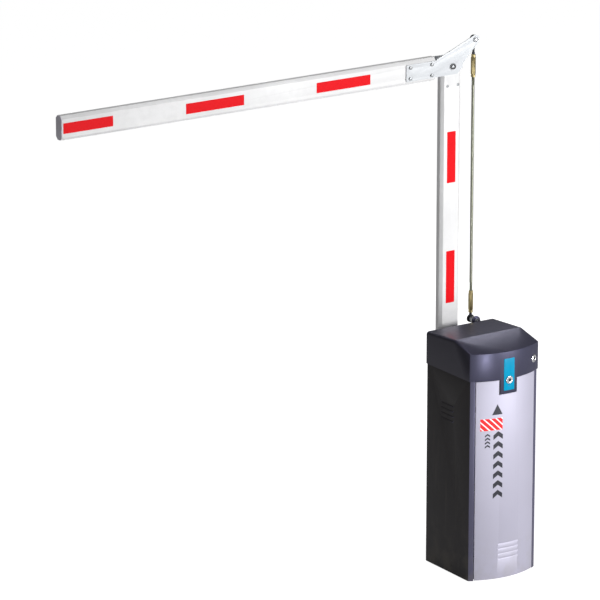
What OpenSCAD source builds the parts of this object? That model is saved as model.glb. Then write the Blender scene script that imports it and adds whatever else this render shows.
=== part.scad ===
// Parking barrier with a folding arm: cabinet, lift-off hood, hinged door, and an arm of two
// booms whose outer half is kept level by a tie rod.
// The floor is z = 0, the front faces -Y, and the origin is the centre of the anchor pattern.
// The arm stands raised: inner boom upright, outer boom level towards -X.

/* [Cabinet] */
// Width across the side skins
cab_w = 340; // [320:1:420]
// Depth of the straight side skins
cab_d = 316; // [300:1:400]
// How far the curved front stands ahead of the side skins
front_bow = 48; // [36:1:60]
// Thickness of the steel skins
skin_t = 2; // [1.5:0.5:3]
// Width of each corner post beside the door
post_w = 19; // [16:1:24]
// Depth of the flange that stiffens each corner post
jamb_depth = 24; // [22:1:28]
// Height of the hood's lower edge
skirt_z = 878; // [720:1:1060]
// How far the skins run up inside the hood
skirt_lap = 20; // [12:1:30]
// Thickness of the base plate
base_t = 8; // [6:1:14]
// Distance between anchor holes, left to right
anchor_dx = 240; // [200:1:250]
// Distance between anchor holes, front to back
anchor_dy = 210; // [180:1:230]
// Diameter of the anchor holes
anchor_hole = 16; // [12:1:20]
// Diameter of the cable entry in the base plate
cable_entry = 60; // [40:1:80]

/* [Hood] */
// Wall of the hood
hood_t = 3; // [2:0.5:4]
// How far the hood stands outside the skins
hood_over = 4.5; // [4:0.5:8]
// Height of the hood's front band
hood_band = 118; // [100:1:140]
// Height of the hood's crest above its lower edge
hood_crest = 152; // [140:1:180]
// Height of the hood's back edge above its lower edge
hood_tail = 140; // [130:1:150]
// Distance of the crest behind the front ends of the side skins
crest_back = 114; // [80:1:140]
// Radius of the hood's top and back edges
hood_edge_r = 13; // [8:1:20]
// Width of the tab that reaches down over the door
tab_w = 82; // [60:1:90]
// Height of that tab below the hood's lower edge
tab_drop = 63; // [40:1:80]
// Place of the tab, sideways
tab_x = -9; // [-30:1:30]
// Width of the coloured lock plate
plate_w = 52; // [44:1:60]
// Height of the coloured lock plate
plate_h = 138; // [110:1:150]

/* [Locks] */
// Diameter of the key barrels
barrel_d = 20; // [16:1:24]
// Diameter of the ring round each key barrel
bezel_d = 34; // [28:1:38]
// Height of the hood lock above the hood's lower edge
lock_drop = -4; // [-20:1:10]
// Sideways place of the release lock on the curved front
release_x = 136; // [110:1:145]
// Height of the release lock above the hood's lower edge
release_rise = 54; // [30:1:80]

/* [Door] */
// Gap between the door and the posts
door_gap = 2; // [1.5:0.5:4]
// Gap above and below the door
door_end_gap = 3; // [2:1:8]
// Depth of the folded edges of the door
door_hem = 11; // [8:1:12]
// Number of louvres in the door and in each side skin
louvres = 4; // [2:1:5]
// Distance between louvres
louvre_pitch = 22; // [18:1:28]
// Length of the side louvres
side_louvre_l = 86; // [60:1:110]
// Length of the door louvres
door_louvre_l = 104; // [60:1:120]
// Height of the lowest side louvre
side_louvre_z = 668; // [600:1:680]
// Height of the lowest door louvre
door_louvre_z = 84; // [60:1:120]

/* [Booms] */
// Height of the boom section
boom_w = 100; // [80:1:120]
// Thickness of the boom section
boom_t = 45; // [38:1:60]
// Corner chamfer of the boom section
boom_cham = 12; // [6:1:14]
// Wall of the boom tubes
boom_wall = 3; // [2:0.5:4]
// Middle of the booms behind the back skin
boom_back = 98; // [94:1:120]
// Height of the elbow pivot above the main shaft
elbow_rise = 1215; // [900:1:1600]
// Reach of the outer boom from the elbow pivot
outer_reach = 1880; // [1200:1:2400]
// Start of the outer boom's tube from the elbow pivot
outer_start = 84; // [80:1:100]
// Sideways offset of the tie rod from the pivots
link_dx = 115; // [110:1:125]
// Height of the tie rod's pivots above the arm's pivots
link_dz = 101; // [96:1:112]
// Height of the reflective strips
strip_h = 43; // [30:1:60]
// Thickness of the reflective strips
strip_t = 0.5; // [0.4:0.1:0.8]

/* [Elbow] */
// Thickness of the elbow plates
elbow_t = 4; // [3:0.5:6]
// Gap between a boom and an elbow plate
elbow_gap = 1; // [1:0.5:2]
// Length of the elbow plates along the outer boom
elbow_l = 233; // [200:1:260]
// Distance from the pivot to the nearer plate bolts
elbow_bolt_x = 106; // [100:1:120]
// Distance between plate bolts along the boom
elbow_bolt_dx = 108; // [80:1:110]
// Distance between plate bolts across the boom
elbow_bolt_dz = 46; // [36:1:50]
// Radius of the horn's round end
horn_r = 19; // [16:1:22]
// Diameter of the elbow pivot bolt
pivot_d = 20; // [16:1:24]
// Diameter of the tie rod's pins
link_pin_d = 16; // [12:1:18]

/* [Tie rod] */
// Diameter of the rod
rod_d = 13; // [10:1:16]
// Diameter of the adjusting sleeves
sleeve_d = 21; // [18:1:24]
// Length of the adjusting sleeves
sleeve_l = 97; // [60:1:120]
// Distance from the lower pivot to the lower sleeve
sleeve_low = 26; // [24:1:40]
// Distance from the upper sleeve to the upper pivot
sleeve_high = 66; // [50:1:80]

/* [Drive] */
// Height of the main shaft above the hood's lower edge
shaft_rise = 25; // [24:1:30]
// Diameter of the main shaft
shaft_d = 40; // [32:1:44]
// Diameter of the gearbox output shaft
out_shaft_d = 30; // [24:1:34]
// Throw of the drive lever and of the crank
lever_l = 70; // [60:1:80]
// Length of the connecting rod between its pins
conrod_l = 300; // [280:1:320]
// Diameter of the crank pins
crank_pin_d = 14; // [12:1:18]
// Teeth of the worm wheel
worm_teeth = 30; // [30:1:30]
// Pitch of the worm
worm_pitch = 8; // [8:1:8]
// Mean radius of the worm
worm_r = 12; // [12:1:12]
// Depth of the worm's thread on each side of its mean radius
worm_e = 1.6; // [1.6:0.1:1.6]
// Thickness of the worm wheel
wheel_t = 14; // [10:1:18]

/* [Fits] */
// Radial running clearance of shafts and pins
run_gap = 0.05; // [0.03:0.01:0.1]
// Radial clearance of the tie rod's upper pin and of the connecting rod's upper pin
free_gap = 0.3; // [0.2:0.05:0.5]
// Radial clearance of bolts in their holes
bolt_gap = 0.25; // [0.2:0.05:0.5]
// Gap between pieces that pass each other
pass_gap = 0.5; // [0.4:0.1:1]

/* [Hidden] */
$fn = 48;

// Cabinet
half_w = cab_w / 2;
back_y = cab_d / 2;
bow_r = (half_w * half_w + front_bow * front_bow) / (2 * front_bow);
bow_y = -back_y + bow_r - front_bow;
body_top = skirt_z + skirt_lap;
skin_x = half_w - skin_t;
skin_y = back_y - skin_t;
door_x = half_w - post_w;
base_inset = jamb_depth + 1;
vent_proud = 3;
vent_h = 6.5;
vent_t = 1.2;
vent_slot = 4;
corner_r = hood_edge_r - hood_over;
side_vent_y = 4;

// Chassis
leg = 30;
leg_t = 3;
mid_y = -12;
post_top = skirt_z + hood_crest - 40;
front_plate_y = mid_y + leg_t;
plate_t = 8;
rear_plate_y = skin_y - leg_t - plate_t;
panel_z0 = 80;
panel_z1 = 345;

// Shafts
shaft_z = skirt_z + shaft_rise;
crank_z = shaft_z - conrod_l;
shaft_r = shaft_d / 2;
out_r = out_shaft_d / 2;
shaft_front_y = front_plate_y - 25;
sensor_y = shaft_front_y + 4;
bearing_t = 15;
bearing_w = 84;
hub_r = 36;
clamp_t = 8;
clamp_x = boom_w / 2 + 30;
clamp_z = 60;
clamp_bolt_x = boom_w / 2 + 16;
clamp_bolt_z = 40;
clamp_bolt_d = 12;
boom_y = back_y + boom_back;
boom_front = boom_y - boom_t / 2;
boom_rear = boom_y + boom_t / 2;
hub_front_y = back_y + hood_over + 6;
hub_rear_y = boom_front - clamp_t;
notch_r = shaft_r + 4;

// Drive lever and crank, both on the same slant so that the connecting rod stays upright
lever_t = 12;
lever_y = front_plate_y + 39;
lever_hub_r = 30;
lever_end_r = 14;
lever_half = 12;
lever_slant = -45;
pin_dx = lever_l * cos(lever_slant);
pin_dz = lever_l * sin(lever_slant);
conrod_y = lever_y + lever_t + 2;
conrod_d = 14;
buffer_r = 12;
buffer_along = 53;
buffer_off = lever_half + buffer_r + pass_gap;

// Gearbox
wheel_y = front_plate_y - 39;
wheel_pitch_r = worm_teeth * worm_pitch / (2 * PI);
worm_dist = wheel_pitch_r + worm_r;
wheel_tip_r = worm_dist - worm_r + worm_e - 1.1;
wheel_root_r = worm_dist - worm_r - worm_e - 0.7;
tooth_w = 2.6;
tooth_slant = atan(worm_pitch / (2 * PI * worm_r));
worm_l = 60;
worm_shaft_r = 8;
box_wall = 8;
box_x0 = -worm_dist - worm_r - 14;
box_x1 = wheel_tip_r + 11;
box_half_h = 50;
box_front_y = front_plate_y - 65;
cover_t = 6;
motor_r = 40;
motor_l = 160;
motor_z1 = crank_z - box_half_h;
fan_l = 34;
knob_z = crank_z + box_half_h + 40;
knob_r = 22;

// Links
ear_x = link_dx;
ear_z = shaft_z + link_dz;
elbow_z = shaft_z + elbow_rise;
link_pin_r = link_pin_d / 2;
eye_r = 17;
eye_t = 12;
rod_y = boom_front + 10.5;
eye_y = rod_y - eye_t / 2;
ear_y = back_y + 42;
ear_t = 8;
ear_r = 20;
ear_foot_z = skirt_z - 98;
ear_foot_h = 82;
link_head_t = 6;
link_head_r = 11;
top_pivot_z = elbow_z + link_dz;
low_sleeve_z = ear_z + sleeve_low;
high_sleeve_z = top_pivot_z - sleeve_high;

// Elbow
plate_front_y = boom_front - elbow_gap - elbow_t;
plate_rear_y = boom_rear + elbow_gap;
elbow_half = 36;
boom_over = 38;
insert_l = 150;
insert_bolt_drop = 82;
insert_bolt_x = [-22, 31];
insert_bolt_r = 4;
sunk_head_r = 6.8;
boom_low_z = shaft_z - clamp_z - 15;
plug_l = 20;
pivot_r = pivot_d / 2;
bolt_head_r = 9;
bolt_head_t = 5;
elbow_bolt_d = 10;
cap_t = 4;

// Strips, as [start, end] from the floor or from the elbow pivot
inner_strips = [[1095, 1322], [1618, 1839]];
outer_strips = [[410, 675], [1026, 1302], [1643, 1872]];

// Hood
hood_x = half_w + hood_over;
hood_back_y = back_y + hood_over;
hood_bow_r = bow_r + hood_over;
crest_y = -back_y + crest_back;
lock_z = skirt_z + lock_drop;
lock_x = tab_x;
lock_y = bow_y - hood_bow_r;
barrel_r = barrel_d / 2;
bezel_r = bezel_d / 2;
bezel_t = 4;
lock_plate_t = 1.2;
cam_w = 12;
cam_t = 3;
cam_l = 34;
header_inset = 14;
header_t = 3;
header_shelf = 24;
header_z0 = skirt_z - 44;
header_z1 = skirt_z + 12;
slot_half = barrel_r + 5;
cam_y = lock_y + hood_over + header_inset + header_t + 4;
release_z = skirt_z + release_rise;
release_turn = asin(release_x / hood_bow_r);
pad_r = 8;
pad_in = leg / 2 + 2;
pad_gap = 0.3;

// Door hinge: its pin's distance from the door's edge and from the door's face, and its knuckles
hinge_in = 12;
hinge_deep = 6.5;
hinge_pin_r = 2.5;
knuckle_r = 4;
knuckle_l = 24;
knuckle_gap = 0.4;
hinge_arm_t = 3;
// The hinge arm reaches inwards past the swing of the door's edge before it turns to the post
hinge_arm_in = norm([hinge_in, hinge_deep]) + 1.5;
door_edge_turn = asin((door_x - door_gap) / bow_r) - hinge_in / bow_r * 180 / PI;
hinge_x = -(bow_r - hinge_deep) * sin(door_edge_turn);
hinge_y = bow_y - (bow_r - hinge_deep) * cos(door_edge_turn);
hinge_zs = [130, skirt_z - 190];
door_z0 = door_end_gap;
door_z1 = skirt_z - door_end_gap;

// Rod along Y from y0 to y1
module y_rod(r, y0, y1, x = 0, z = 0) {
    translate([x, y0, z]) rotate([-90, 0, 0]) cylinder(r = r, h = y1 - y0);
}

// Box between two corners
module block(a, b) {
    translate(a) cube(b - a);
}

// Outline of the cabinet seen from above, grown outwards by g
module plan(g = 0) {
    r = corner_r + g;
    depth = bow_r + back_y - bow_y + 2 * g;
    intersection() {
        union() {
            translate([-half_w - g, bow_y - bow_r - g]) square([cab_w + 2 * g, depth - r]);
            translate([r - half_w - g, 0]) square([cab_w + 2 * g - 2 * r, back_y + g]);
            for (s = [-1, 1]) translate([s * (half_w + g - r), back_y + g - r]) circle(r = r);
        }
        translate([0, bow_y]) circle(r = bow_r + g, $fn = 180);
    }
}

// Curved band between two depths behind the front face, up to x_half to each side
module bow_band(out, in, z0, z1, x_half) {
    translate([0, bow_y, z0]) intersection() {
        difference() {
            cylinder(r = bow_r - out, h = z1 - z0, $fn = 180);
            translate([0, 0, -1]) cylinder(r = bow_r - in, h = z1 - z0 + 2, $fn = 180);
        }
        translate([-x_half, -bow_r - 20, -1]) cube([2 * x_half, bow_r - 60, z1 - z0 + 2]);
    }
}

// Outline of a boom, shrunk by an inset
module boom_outline(inset = 0) {
    w = boom_w / 2 - inset;
    t = boom_t / 2 - inset;
    c = boom_cham - inset * (2 - sqrt(2));
    polygon([[w - c, -t], [w, -t + c], [w, t - c], [w - c, t],
             [-w + c, t], [-w, t - c], [-w, -t + c], [-w + c, -t]]);
}

module hex_bolt(r_head, t_head, r_shank, l) {
    cylinder(r = r_head, h = t_head, $fn = 6);
    translate([0, 0, t_head]) cylinder(r = r_shank, h = l);
}

// ---- Cabinet ----

module base_plate() {
    color("dimgray") difference() {
        linear_extrude(base_t) intersection() {
            plan(-skin_t);
            translate([0, bow_y]) circle(r = bow_r - base_inset, $fn = 180);
        }
        for (x = [-1, 1], y = [-1, 1])
            translate([x * anchor_dx / 2, y * anchor_dy / 2, -1])
                cylinder(d = anchor_hole, h = base_t + 2);
        translate([0, 0, -1]) cylinder(d = cable_entry, h = base_t + 2);
    }
}

// Section of a louvre: a blade that slants outwards and down from a skin whose face is x = 0
module louvre_section() {
    polygon([[-1, vent_h], [vent_proud, 0], [vent_proud - vent_t, 0], [-1, vent_h - 2]]);
}

module side_vent(side, z) {
    mirror([side < 0 ? 1 : 0, 0, 0])
        translate([half_w, side_vent_y + side_louvre_l / 2, z]) rotate([90, 0, 0])
            linear_extrude(side_louvre_l) louvre_section();
}

module body_shell() {
    color([0.26, 0.26, 0.31]) union() {
        difference() {
            linear_extrude(body_top) plan();
            translate([0, 0, -1]) linear_extrude(body_top + 2) plan(-skin_t);
            block([-door_x, bow_y - bow_r - 1, -1], [door_x, -back_y, body_top + 1]);
            y_rod(notch_r, 0, back_y + 1, 0, shaft_z);
            block([-notch_r, 0, shaft_z], [notch_r, back_y + 1, body_top + 1]);
            for (side = [-1, 1], i = [0 : louvres - 1])
                translate([side * half_w, side_vent_y,
                           side_louvre_z + i * louvre_pitch + vent_slot / 2])
                    cube([4 * skin_t, side_louvre_l - 4, vent_slot], center = true);
        }
        intersection() {
            for (side = [-1, 1])
                translate([side * (door_x + skin_t / 2), -back_y - front_bow / 2, body_top / 2])
                    cube([skin_t, 2 * front_bow, body_top], center = true);
            difference() {
                linear_extrude(body_top) plan(-skin_t);
                translate([0, bow_y, -1]) cylinder(r = bow_r - jamb_depth, h = body_top + 2);
            }
        }
        for (side = [-1, 1], i = [0 : louvres - 1])
            side_vent(side, side_louvre_z + i * louvre_pitch);
    }
}

// Angle upright with its corner at (side * skin_x, y) and its legs running inwards and along dy
module upright(side, y, dy) {
    x0 = side > 0 ? skin_x - leg : -skin_x;
    sx = side > 0 ? skin_x - leg_t : -skin_x;
    h = post_top - base_t;
    y0 = dy > 0 ? y : y - leg_t;
    y1 = dy > 0 ? y : y - leg;
    translate([x0, y0, base_t]) cube([leg, leg_t, h]);
    translate([sx, y1, base_t]) cube([leg_t, leg, h]);
    translate([x0, y1, post_top - leg_t]) cube([leg, leg, leg_t]);
}

module chassis_frame() {
    color("slategray") {
        intersection() {
            for (side = [-1, 1]) {
                upright(side, mid_y, 1);
                upright(side, skin_y, -1);
            }
            linear_extrude(post_top) plan(-skin_t);
        }
        block([-skin_x + leg_t, mid_y - leg_t, panel_z0], [skin_x - leg_t, mid_y, panel_z1]);
    }
}

module front_bearing_plate() {
    color("lightsteelblue") difference() {
        block([-skin_x + leg_t, front_plate_y, crank_z - box_half_h],
              [skin_x - leg_t, front_plate_y + plate_t, post_top - 30]);
        y_rod(shaft_r + 2, front_plate_y - 1, front_plate_y + plate_t + 1, 0, shaft_z);
        y_rod(out_r + run_gap, front_plate_y - 1, front_plate_y + plate_t + 1, 0, crank_z);
    }
}

module rear_bearing_plate() {
    color("lightsteelblue") difference() {
        block([-skin_x + leg_t, rear_plate_y, shaft_z - 100],
              [skin_x - leg_t, rear_plate_y + plate_t, shaft_z + 57]);
        y_rod(shaft_r + 2, rear_plate_y - 1, rear_plate_y + plate_t + 1, 0, shaft_z);
    }
}

module bearing(y0) {
    difference() {
        translate([-bearing_w / 2, y0, shaft_z - bearing_w / 2])
            cube([bearing_w, bearing_t, bearing_w]);
        y_rod(shaft_r + run_gap, y0 - 1, y0 + bearing_t + 1, 0, shaft_z);
    }
}

module shaft_bearings() {
    color("steelblue") {
        bearing(front_plate_y + plate_t);
        bearing(rear_plate_y - bearing_t);
    }
}

module front_header() {
    inner = header_inset + header_t;
    color("slategray") difference() {
        union() {
            bow_band(header_inset, inner, header_z0, header_z1, door_x);
            bow_band(inner, inner + header_shelf, header_z1 - header_t, header_z1, door_x);
        }
        block([lock_x - slot_half, bow_y - bow_r, lock_z - barrel_r - 6],
              [lock_x + slot_half, -back_y, header_z1 + 1]);
        translate([hinge_x, hinge_y, header_z0 - 1])
            cylinder(r = hinge_arm_in, h = door_z1 + 2 - header_z0);
    }
}

module link_ear_bracket() {
    foot_t = 6;
    top = ear_z;
    color([0.35, 0.34, 0.43]) difference() {
        union() {
            y_rod(ear_r, ear_y, ear_y + ear_t, ear_x, ear_z);
            translate([0, ear_y + ear_t, 0]) rotate([90, 0, 0]) linear_extrude(ear_t)
                polygon([[ear_x - 26, ear_foot_z], [ear_x + 26, ear_foot_z],
                         [ear_x + 26, top - 30], [ear_x + ear_r, top],
                         [ear_x - ear_r, top], [ear_x - 26, top - 30]]);
            block([ear_x - 26, back_y, ear_foot_z],
                  [ear_x + 26, back_y + foot_t, ear_foot_z + ear_foot_h]);
            for (z = [ear_foot_z, ear_foot_z + ear_foot_h - foot_t])
                block([ear_x - 26, back_y, z], [ear_x + 26, ear_y + 1, z + foot_t]);
        }
        y_rod(link_pin_r, ear_y - 1, ear_y + ear_t + 1, ear_x, ear_z);
    }
}

module link_ear_pin() {
    color("silver") {
        y_rod(link_head_r, ear_y - link_head_t, ear_y, ear_x, ear_z);
        y_rod(link_pin_r, ear_y - 1, eye_y + eye_t + 5, ear_x, ear_z);
        y_rod(link_head_r, ear_y + ear_t, eye_y - pass_gap, ear_x, ear_z);
        y_rod(link_head_r, eye_y + eye_t + pass_gap, eye_y + eye_t + 5, ear_x, ear_z);
    }
}

module gearbox_housing() {
    z0 = crank_z - box_half_h;
    z1 = crank_z + box_half_h;
    color("gray") difference() {
        block([box_x0, box_front_y, z0], [box_x1, front_plate_y, z1]);
        block([box_x0 + box_wall, box_front_y - 1, z0 + box_wall],
              [box_x1 - box_wall, front_plate_y - box_wall, z1 - box_wall]);
        y_rod(out_r + run_gap, box_front_y, front_plate_y + 1, 0, crank_z);
        translate([-worm_dist, wheel_y, z0 - 1])
            cylinder(r = worm_shaft_r + run_gap, h = 2 * box_half_h + 2);
    }
}

module gearbox_cover() {
    y0 = box_front_y - cover_t;
    color("darkgray") difference() {
        union() {
            block([box_x0, y0, crank_z - box_half_h], [box_x1, box_front_y, crank_z + box_half_h]);
            y_rod(out_r + 9, y0 - 6, y0 + 1, 0, crank_z);
        }
        y_rod(out_r + run_gap, y0 - 4, box_front_y + 1, 0, crank_z);
    }
}

module drive_motor() {
    z0 = motor_z1 - motor_l;
    color([0.25, 0.35, 0.45]) difference() {
        union() {
            translate([-worm_dist, wheel_y, z0]) cylinder(r = motor_r - 4, h = motor_l);
            translate([-worm_dist, wheel_y, motor_z1 - 10]) cylinder(r = motor_r, h = 10);
            translate([-worm_dist, wheel_y, z0]) cylinder(r = motor_r, h = 8);
            for (i = [0 : 17]) translate([-worm_dist, wheel_y, z0])
                rotate([0, 0, i * 20]) translate([motor_r - 6, -1, 4])
                    cube([4.5, 2, motor_l - 9]);
        }
        translate([-worm_dist, wheel_y, motor_z1 - 30])
            cylinder(r = worm_shaft_r + run_gap, h = 31);
    }
}

module motor_fan_cover() {
    z0 = motor_z1 - motor_l - fan_l;
    color([0.2, 0.2, 0.22]) translate([-worm_dist, wheel_y, z0]) difference() {
        cylinder(r = motor_r, h = fan_l);
        translate([0, 0, 2]) cylinder(r = motor_r - 2, h = fan_l);
        for (i = [0 : 11]) rotate([0, 0, i * 30]) translate([14, -2, -1]) cube([18, 4, 4]);
    }
}

module balance_spring() {
    y0 = lever_y + lever_t + 8;
    y1 = rear_plate_y - bearing_t - 12;
    leg_r = 4;
    anchor = bearing_w / 2 + 18;
    color("goldenrod") {
        difference() {
            y_rod(shaft_r + 14, y0, y1, 0, shaft_z);
            y_rod(shaft_r + 4, y0 - 1, y1 + 1, 0, shaft_z);
        }
        translate([0, y1 - 2 * leg_r, shaft_z - anchor - leg_r - 1])
            cylinder(r = leg_r, h = anchor + leg_r - shaft_r - 6);
        y_rod(leg_r - 1, y1 - 2 * leg_r, rear_plate_y, 0, shaft_z - anchor);
    }
}

module stop_buffers() {
    y0 = front_plate_y + plate_t;
    x = buffer_along * cos(lever_slant) + buffer_off * sin(lever_slant);
    z = buffer_along * sin(lever_slant) - buffer_off * cos(lever_slant);
    color([0.08, 0.08, 0.08]) for (s = [-1, 1])
        y_rod(buffer_r, y0, lever_y + lever_t + 1, x, shaft_z + s * z);
}

module sensor_bracket() {
    y0 = front_plate_y - 36;
    color("silver") difference() {
        union() {
            block([-70, y0, shaft_z - 18], [-64, front_plate_y, shaft_z + 18]);
            block([-18, y0, shaft_z + 58], [18, front_plate_y, shaft_z + 64]);
            block([-18, front_plate_y - 4, shaft_z + 30], [18, front_plate_y, shaft_z + 60]);
            block([-92, front_plate_y - 4, shaft_z - 18], [-64, front_plate_y, shaft_z + 18]);
        }
        translate([-80, sensor_y, shaft_z]) rotate([0, 90, 0]) cylinder(r = 6.1, h = 20);
        translate([0, sensor_y, shaft_z + 50]) cylinder(r = 6.1, h = 20);
    }
}

module limit_sensors() {
    color("orange") {
        translate([-100, sensor_y, shaft_z]) rotate([0, 90, 0]) cylinder(r = 6, h = 48);
        translate([0, sensor_y, shaft_z + 52]) cylinder(r = 6, h = 48);
    }
}

module control_box() {
    y1 = mid_y - leg_t;
    color([0.8, 0.8, 0.78]) {
        block([-36, y1 - 70, panel_z0 + 12], [skin_x - 34, y1, panel_z1 - 8]);
        block([-38, y1 - 82, panel_z0 + 10], [skin_x - 32, y1 - 70.2, panel_z1 - 6]);
    }
}

module terminal_rail() {
    y1 = mid_y - leg_t;
    x0 = -skin_x + 22;
    z = (panel_z0 + panel_z1) / 2;
    color([0.6, 0.62, 0.66]) {
        block([x0, y1 - 7, z - 17], [x0 + 100, y1, z + 17]);
        for (i = [0 : 6])
            block([x0 + 4 + i * 7, y1 - 44, z - 26], [x0 + 10.4 + i * 7, y1 - 7, z + 26]);
        block([x0 + 58, y1 - 64, z - 40], [x0 + 94, y1 - 7, z + 40]);
        block([x0 + 62, y1 - 70, z - 8], [x0 + 90, y1 - 64, z + 14]);
    }
}

// Height of the hood's outer roof at a place y behind the crest
function roof_z(y) = skirt_z + hood_crest
    - (hood_crest - hood_tail) * (y - crest_y) / (hood_back_y - hood_edge_r - crest_y);

module hood_pads() {
    color([0.07, 0.07, 0.07]) for (side = [-1, 1], y = [mid_y + pad_in, skin_y - pad_in])
        translate([side * (skin_x - pad_in), y, post_top])
            cylinder(r = pad_r, h = roof_z(y + pad_r) - hood_t - pad_gap - post_top);
}

// Fixed knuckle, with the arm that holds it to the post
module fixed_knuckle(z) {
    translate([0, 0, z + knuckle_gap]) linear_extrude(knuckle_l - 2 * knuckle_gap) {
        translate([hinge_x, hinge_y]) circle(r = knuckle_r);
        intersection() {
            translate([0, bow_y]) rotate(-door_edge_turn) translate([0, hinge_deep - bow_r]) {
                translate([-1, 1]) square([hinge_arm_t, hinge_arm_in + 1]);
                translate([-2 * hinge_in, hinge_arm_in])
                    square([2 * hinge_in + hinge_arm_t - 1, hinge_arm_t]);
            }
            translate([-door_x, -back_y - front_bow]) square([door_x, back_y + front_bow]);
        }
    }
}

module door_hinge_pins() {
    color("gray") for (z = hinge_zs) {
        translate([hinge_x, hinge_y, z - knuckle_l]) cylinder(r = hinge_pin_r, h = 3 * knuckle_l);
        for (dz = [-knuckle_l, knuckle_l]) fixed_knuckle(z + dz);
    }
}

module cabinet_fasteners() {
    color("silver") {
        for (x = [-1, 1], z = [-1, 1]) {
            translate([x * 33, front_plate_y + plate_t + bearing_t, shaft_z + z * 33])
                rotate([-90, 0, 0]) cylinder(r = 8, h = 6, $fn = 6);
            translate([x * 33, rear_plate_y - bearing_t - 6, shaft_z + z * 33])
                rotate([-90, 0, 0]) cylinder(r = 8, h = 6, $fn = 6);
        }
        for (x = [-1, 1], z = [crank_z - 30, crank_z + 60, shaft_z - 70, shaft_z + 40])
            translate([x * (skin_x - 20), front_plate_y + plate_t, z])
                rotate([-90, 0, 0]) cylinder(r = 8, h = 6, $fn = 6);
        for (x = [-1, 1], z = [shaft_z - 70, shaft_z + 40])
            translate([x * (skin_x - 20), rear_plate_y - 6, z])
                rotate([-90, 0, 0]) cylinder(r = 8, h = 6, $fn = 6);
        for (x = [-16, 16], z = [18, ear_foot_h - 18])
            translate([ear_x + x, back_y + 6, ear_foot_z + z])
                rotate([-90, 0, 0]) cylinder(r = 6, h = 5, $fn = 6);
    }
}

module cable_grommet() {
    r = cable_entry / 2;
    color([0.06, 0.06, 0.06]) difference() {
        union() {
            cylinder(r = r, h = base_t);
            translate([0, 0, base_t]) cylinder(r = r + 4, h = 4);
        }
        translate([0, 0, -1]) cylinder(r = r - 8, h = base_t + 8);
    }
}

// ---- Hood ----

// Solid form of the hood, shrunk by an inset on every side but the bottom
module hood_form(inset) {
    r = hood_edge_r - inset;
    x = hood_x - hood_edge_r;
    y = hood_back_y - hood_edge_r;
    z_low = skirt_z - (inset > 0 ? 1 : 0);
    front_r = hood_bow_r - inset;
    z_band = skirt_z + hood_band - inset;
    hull() {
        translate([0, 0, z_low]) linear_extrude(z_band - z_low) intersection() {
            translate([-hood_x + inset, -back_y - front_bow - 20])
                square([2 * (hood_x - inset), 40 + front_bow]);
            translate([0, bow_y]) circle(r = front_r, $fn = 120);
        }
        for (s = [-1, 1]) {
            translate([s * x, crest_y, skirt_z + hood_crest - hood_edge_r])
                sphere(r = r, $fn = 24);
            translate([s * x, y, skirt_z + hood_tail - hood_edge_r]) sphere(r = r, $fn = 24);
            translate([s * x, y, z_low]) cylinder(r = r, h = 1, $fn = 24);
        }
    }
}

module hood_shell() {
    color([0.35, 0.34, 0.43]) difference() {
        union() {
            difference() {
                hood_form(0);
                hood_form(hood_t);
            }
            translate([tab_x - tab_w / 2, 0, skirt_z - tab_drop]) intersection() {
                translate([0, bow_y - bow_r - 30, 0]) cube([tab_w, 60, tab_drop + 20]);
                translate([tab_w / 2 - tab_x, bow_y, 0]) difference() {
                    cylinder(r = hood_bow_r, h = tab_drop + 20, $fn = 180);
                    translate([0, 0, -1])
                        cylinder(r = hood_bow_r - hood_t, h = tab_drop + 22, $fn = 180);
                }
            }
        }
        y_rod(notch_r + 2, 0, hood_back_y + 1, 0, shaft_z);
        block([-notch_r - 2, 0, skirt_z - 2], [notch_r + 2, hood_back_y + 1, shaft_z]);
        y_rod(barrel_r + run_gap, lock_y - 1, lock_y + 12, lock_x, lock_z);
        translate([0, bow_y, release_z]) rotate([0, 0, release_turn])
            y_rod(barrel_r + run_gap, -hood_bow_r - 1, -hood_bow_r + 12);
    }
}

module lock_plate() {
    z0 = skirt_z - tab_drop + 14;
    color([0, 0.71, 0.88]) difference() {
        intersection() {
            translate([0, bow_y, z0]) difference() {
                cylinder(r = hood_bow_r + lock_plate_t, h = plate_h, $fn = 180);
                translate([0, 0, -1]) cylinder(r = hood_bow_r, h = plate_h + 2, $fn = 180);
            }
            block([tab_x - plate_w / 2, lock_y - 20, z0],
                  [tab_x + plate_w / 2, lock_y + 20, z0 + plate_h]);
        }
        y_rod(barrel_r + run_gap, lock_y - 6, lock_y + 12, lock_x, lock_z);
    }
}

// Ring round a key barrel, with its inner face on the plane y = 0
module bezel() {
    difference() {
        y_rod(bezel_r, -bezel_t, 0);
        y_rod(barrel_r + run_gap, -bezel_t - 1, 1);
    }
}

module lock_bezels() {
    color("gainsboro") {
        translate([lock_x, lock_y - lock_plate_t, lock_z]) bezel();
        translate([0, bow_y, release_z]) rotate([0, 0, release_turn])
            translate([0, -hood_bow_r, 0]) bezel();
    }
}

// Key barrel with its face at y = 0 and a keyway in the face
module key_barrel(l) {
    difference() {
        y_rod(barrel_r, 0, l);
        translate([-1.5, -1, -6]) cube([3, 4, 12]);
    }
}

module hood_lock_barrel() {
    y0 = lock_y - lock_plate_t - bezel_t;
    color("silver") translate([lock_x, y0, lock_z]) key_barrel(cam_y - y0);
}

module hood_lock_cam() {
    color("gray") {
        block([lock_x - cam_w / 2, cam_y, lock_z - cam_l],
              [lock_x + cam_w / 2, cam_y + cam_t, lock_z + 8]);
        y_rod(7, cam_y + cam_t, cam_y + cam_t + 4, lock_x, lock_z);
    }
}

module release_lock_barrel() {
    color("silver") translate([0, bow_y, release_z]) rotate([0, 0, release_turn])
        translate([0, -hood_bow_r - bezel_t, 0]) {
            key_barrel(24);
            block([-5, 24, -7], [5, 27, 14]);
        }
}

// ---- Door ----

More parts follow.
